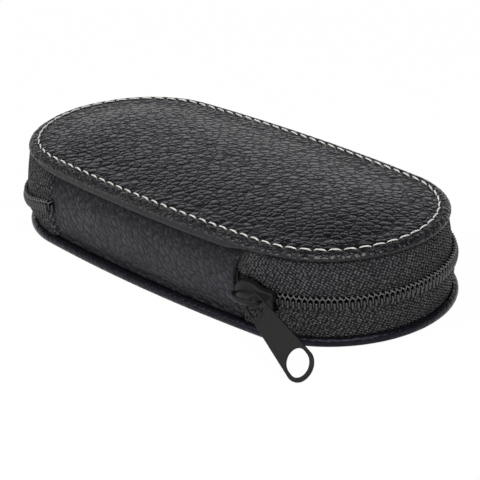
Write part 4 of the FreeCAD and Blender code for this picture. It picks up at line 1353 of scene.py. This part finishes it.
def pen_band(name, left, right, node, material):
    points = band_path()
    steps = [math.dist(a, b) for a, b in zip(points, points[1:])]

    def place(across, up):
        y, z = along(points, up)
        edge = min(across, 1 - across) * (right - left)
        dip = 0.12 * (1 - smooth(0.0, 1.2, edge))
        return Vector((left + across * (right - left), y, z - dip))

    def spread(across, up):
        reach = up * (len(points) - 1)
        index = min(int(reach), len(steps) - 1)
        return across * (right - left), sum(steps[:index]) + (reach - index) * steps[index]

    bm = sheet_mesh(16, len(points) - 1, place, spread)
    bmesh.ops.recalc_face_normals(bm, faces=bm.faces)
    thick = sizes().elastic
    for vert in bm.verts:
        vert.normal_update()
    spots = [vert.co + 0.5 * thick * vert.normal for vert in bm.verts]
    for vert, spot in zip(bm.verts, spots):
        vert.co = spot
    bmesh.ops.solidify(bm, geom=bm.faces[:], thickness=thick)
    piece = finish_piece(name, bm, material)
    return ride(piece, "base", "elastic", node)


def bar_tacks(material):
    """Dense zigzag thread across each foot of both bands."""
    size = sizes()
    pitch = 2 * loop_half() + size.loop_gap
    end = BAND_END - size.band_foot / 2
    feet = [-end, end] + [(step - (size.pen_loops - 2) / 2) * pitch for step in range(size.pen_loops - 1)]
    height = LINING_TOP + size.elastic + 0.12
    bm = bmesh.new()
    turns = 30
    for left, right in ((BAND_LEFT, BAND_RIGHT), (-BAND_RIGHT, -BAND_LEFT)):
        for middle in feet:
            for step in range(turns):
                x = left + 1.5 + (right - left - 3.0) * (step + 0.5) / turns
                lean = 0.22 if step % 2 else -0.22
                rod(bm, ((x - lean, middle - 0.6, height - 0.1), (x, middle, height + 0.1),
                         (x + lean, middle + 0.6, height - 0.1)), 0.2, sides=5, rings=5)
    return ride(finish_piece("band_tacks", bm, material), "base", "thread_dark", "pen_band_tacks")


# Stage

CAMERA_PLACE = (0.441507, -0.372505, 0.263296)
CAMERA_RIGHT = (0.66622, 0.74343, -0.05889)
CAMERA_UP = (-0.27043, 0.31443, 0.90994)
CAMERA_BACK = (0.69499, -0.59030, 0.41053)
CAMERA_LENS = 156.46
# Fades over the sky: a direction, then the share facing it where the fade starts and stops, and both levels.
ROOM_FADE = (-0.70, 0.68, 0.22), (0.1, 0.85, 0.12, 0.30)
WHITE_FADE = (0, 0, 1), (0.20, 0.50, 1.0, 0.06)
FLOOR_WHITE = 0.985


def add_camera():
    data = bpy.data.cameras.new("camera")
    data.lens, data.sensor_width = CAMERA_LENS, 36.0
    data.clip_start, data.clip_end = 0.01, 20.0
    camera = bpy.data.objects.new("camera", data)
    turn = Matrix((CAMERA_RIGHT, CAMERA_UP, CAMERA_BACK)).transposed().to_4x4()
    camera.matrix_world = Matrix.Translation(CAMERA_PLACE) @ turn
    bpy.context.scene.collection.objects.link(camera)
    bpy.context.scene.camera = camera


def add_softbox(name, place, target, wide, tall, power):
    """Rectangular lamp aimed at a point."""
    data = bpy.data.lights.new(name, "AREA")
    data.shape, data.size, data.size_y, data.energy = "RECTANGLE", wide, tall, power
    lamp = bpy.data.objects.new(name, data)
    lamp.location = place
    aim = Vector(target) - Vector(place)
    lamp.rotation_euler = aim.to_track_quat("-Z", "Y").to_euler()
    bpy.context.scene.collection.objects.link(lamp)


def white_to_camera(tree, strength):
    """Share of plain white that the camera and mirror-like surfaces see in place of the lit surface."""
    rays = tree.nodes.new("ShaderNodeLightPath")
    seen = rays.outputs["Is Camera Ray"]
    for kind in ("Is Glossy Ray", "Is Transmission Ray"):
        either = tree.nodes.new("ShaderNodeMath")
        either.operation = "MAXIMUM"
        tree.links.new(seen, either.inputs[0])
        tree.links.new(rays.outputs[kind], either.inputs[1])
        seen = either.outputs[0]
    share = tree.nodes.new("ShaderNodeMath")
    share.operation = "MULTIPLY"
    tree.links.new(seen, share.inputs[0])
    share.inputs[1].default_value = strength
    return share.outputs[0]


def add_floor():
    bm = bmesh.new()
    bmesh.ops.create_grid(bm, x_segments=1, y_segments=1, size=3.0)
    mesh = bpy.data.meshes.new("floor")
    bm.to_mesh(mesh)
    bm.free()
    floor = bpy.data.objects.new("floor", mesh)
    floor.location.z = -0.0003
    bpy.context.scene.collection.objects.link(floor)
    material = bpy.data.materials.new("pale_floor")
    material.use_nodes = True
    tree = material.node_tree
    tree.nodes.clear()
    paper = tree.nodes.new("ShaderNodeBsdfDiffuse")
    paper.inputs["Color"].default_value = (0.86, 0.86, 0.86, 1)
    glow = tree.nodes.new("ShaderNodeEmission")
    mixed = tree.nodes.new("ShaderNodeMixShader")
    output = tree.nodes.new("ShaderNodeOutputMaterial")
    tree.links.new(white_to_camera(tree, FLOOR_WHITE), mixed.inputs[0])
    tree.links.new(paper.outputs[0], mixed.inputs[1])
    tree.links.new(glow.outputs[0], mixed.inputs[2])
    tree.links.new(mixed.outputs[0], output.inputs["Surface"])
    mesh.materials.append(material)


def add_world():
    """White backdrop all round, fading to a dim ceiling; a dim room as light on matt surfaces."""
    world = bpy.data.worlds.new("studio")
    bpy.context.scene.world = world
    world.use_nodes = True
    tree = world.node_tree
    tree.nodes.clear()
    coords = tree.nodes.new("ShaderNodeTexCoord")
    levels = []
    for way, values in ROOM_FADE, WHITE_FADE:
        facing = tree.nodes.new("ShaderNodeVectorMath")
        facing.operation = "DOT_PRODUCT"
        facing.inputs[1].default_value = way
        level = tree.nodes.new("ShaderNodeMapRange")
        level.interpolation_type = "SMOOTHSTEP"
        for key, value in zip(("From Min", "From Max", "To Min", "To Max"), values):
            level.inputs[key].default_value = value
        tree.links.new(coords.outputs["Generated"], facing.inputs[0])
        tree.links.new(facing.outputs["Value"], level.inputs["Value"])
        levels.append(tree.nodes.new("ShaderNodeBackground"))
        tree.links.new(level.outputs[0], levels[-1].inputs["Strength"])
    mixed = tree.nodes.new("ShaderNodeMixShader")
    output = tree.nodes.new("ShaderNodeOutputWorld")
    tree.links.new(white_to_camera(tree, 1.0), mixed.inputs[0])
    tree.links.new(levels[0].outputs[0], mixed.inputs[1])
    tree.links.new(levels[1].outputs[0], mixed.inputs[2])
    tree.links.new(mixed.outputs[0], output.inputs["Surface"])


# Operators

class PENCASE_OT_panels(bpy.types.Operator):
    """Make the lid and base covers, their padding and their topstitching"""

    bl_idname = "pencase.panels"
    bl_label = "Panels"

    def execute(self, context):
        lid_cover()
        front_lip()
        lid_padding()
        base_cover()
        base_padding()
        lid_stitches()
        base_stitches()
        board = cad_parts["lid_board"].data.materials
        board.clear()
        board.append(fibre_board())
        base_stiffener()
        return {"FINISHED"}


class PENCASE_OT_spine(bpy.types.Operator):
    """Make the spine's leather"""

    bl_idname = "pencase.spine"
    bl_label = "Spine"

    def execute(self, context):
        spine_cover()
        spine_hinge()
        return {"FINISHED"}


class PENCASE_OT_linings(bpy.types.Operator):
    """Make the napped linings of the panels and the spine"""

    bl_idname = "pencase.linings"
    bl_label = "Linings"

    def execute(self, context):
        lining_sheet("lid_lining_cloth", CEILING, "lid", "lid_lining")
        lining_sheet("base_lining_cloth", BASE_TOP, "base", "base_lining")
        spine_lining()
        return {"FINISHED"}


class PENCASE_OT_zip(bpy.types.Operator):
    """Make the zip: tapes, coils, slider and pull"""

    bl_idname = "pencase.zip"
    bl_label = "Zip"

    def execute(self, context):
        zip_tapes()
        zip_coils()
        zip_slider()
        pull_tab()
        return {"FINISHED"}


class PENCASE_OT_bands(bpy.types.Operator):
    """Make the elastic pen bands and their bar tacks"""

    bl_idname = "pencase.bands"
    bl_label = "Pen bands"

    def execute(self, context):
        elastic = ribbed_elastic()
        pen_band("right_band", BAND_LEFT, BAND_RIGHT, "pen_band_right", elastic)
        pen_band("left_band", -BAND_RIGHT, -BAND_LEFT, "pen_band_left", elastic)
        bar_tacks(sewing_thread("dark_thread", tint(colours().elastic, 2.2)))
        return {"FINISHED"}


class PENCASE_OT_stage(bpy.types.Operator):
    """Set the camera, lamps, floor and background"""

    bl_idname = "pencase.stage"
    bl_label = "Stage"

    def execute(self, context):
        add_camera()
        add_softbox("back_softbox", (-0.80, 0.70, 0.40), (0, 0, 0.02), 1.0, 0.4, 1.2)
        add_softbox("front_softbox", (-0.40, -0.80, 0.80), (0, 0, 0.01), 0.6, 0.6, 4.5)
        add_softbox("right_softbox", (0.52, -0.40, 0.95), (0, 0, 0.01), 1.0, 0.7, 10.5)
        add_floor()
        add_world()
        context.scene.view_settings.view_transform = "Standard"
        return {"FINISHED"}


class PENCASE_PT_sidebar(bpy.types.Panel):
    """Sizes, colours and operators of the pen case"""

    bl_idname = "PENCASE_PT_sidebar"
    bl_label = "Pen Case"
    bl_space_type = "VIEW_3D"
    bl_region_type = "UI"
    bl_category = "Pen Case"

    def draw(self, context):
        for group in (sizes(), zip_sizes(), colours()):
            column = self.layout.column(align=True)
            for key in group.__annotations__:
                column.prop(group, key)
        for operator in OPERATORS:
            self.layout.operator(operator.bl_idname)


GROUPS = {"pen_case_sizes": CaseSizes, "pen_case_zip": ZipSizes, "pen_case_colours": CaseColours}
OPERATORS = (PENCASE_OT_panels, PENCASE_OT_spine, PENCASE_OT_linings, PENCASE_OT_zip, PENCASE_OT_bands,
             PENCASE_OT_stage)


def register():
    for kind in (*GROUPS.values(), *OPERATORS, PENCASE_PT_sidebar):
        bpy.utils.register_class(kind)
    for name, group in GROUPS.items():
        setattr(bpy.types.Scene, name, PointerProperty(type=group))


def unregister():
    for name in GROUPS:
        delattr(bpy.types.Scene, name)
    for kind in (PENCASE_PT_sidebar, *OPERATORS[::-1], *GROUPS.values()):
        bpy.utils.unregister_class(kind)


def main():
    register()
    bpy.ops.pencase.panels()
    bpy.ops.pencase.spine()
    bpy.ops.pencase.linings()
    bpy.ops.pencase.zip()
    bpy.ops.pencase.bands()
    bpy.ops.pencase.stage()


if __name__ == "__main__":
    main()
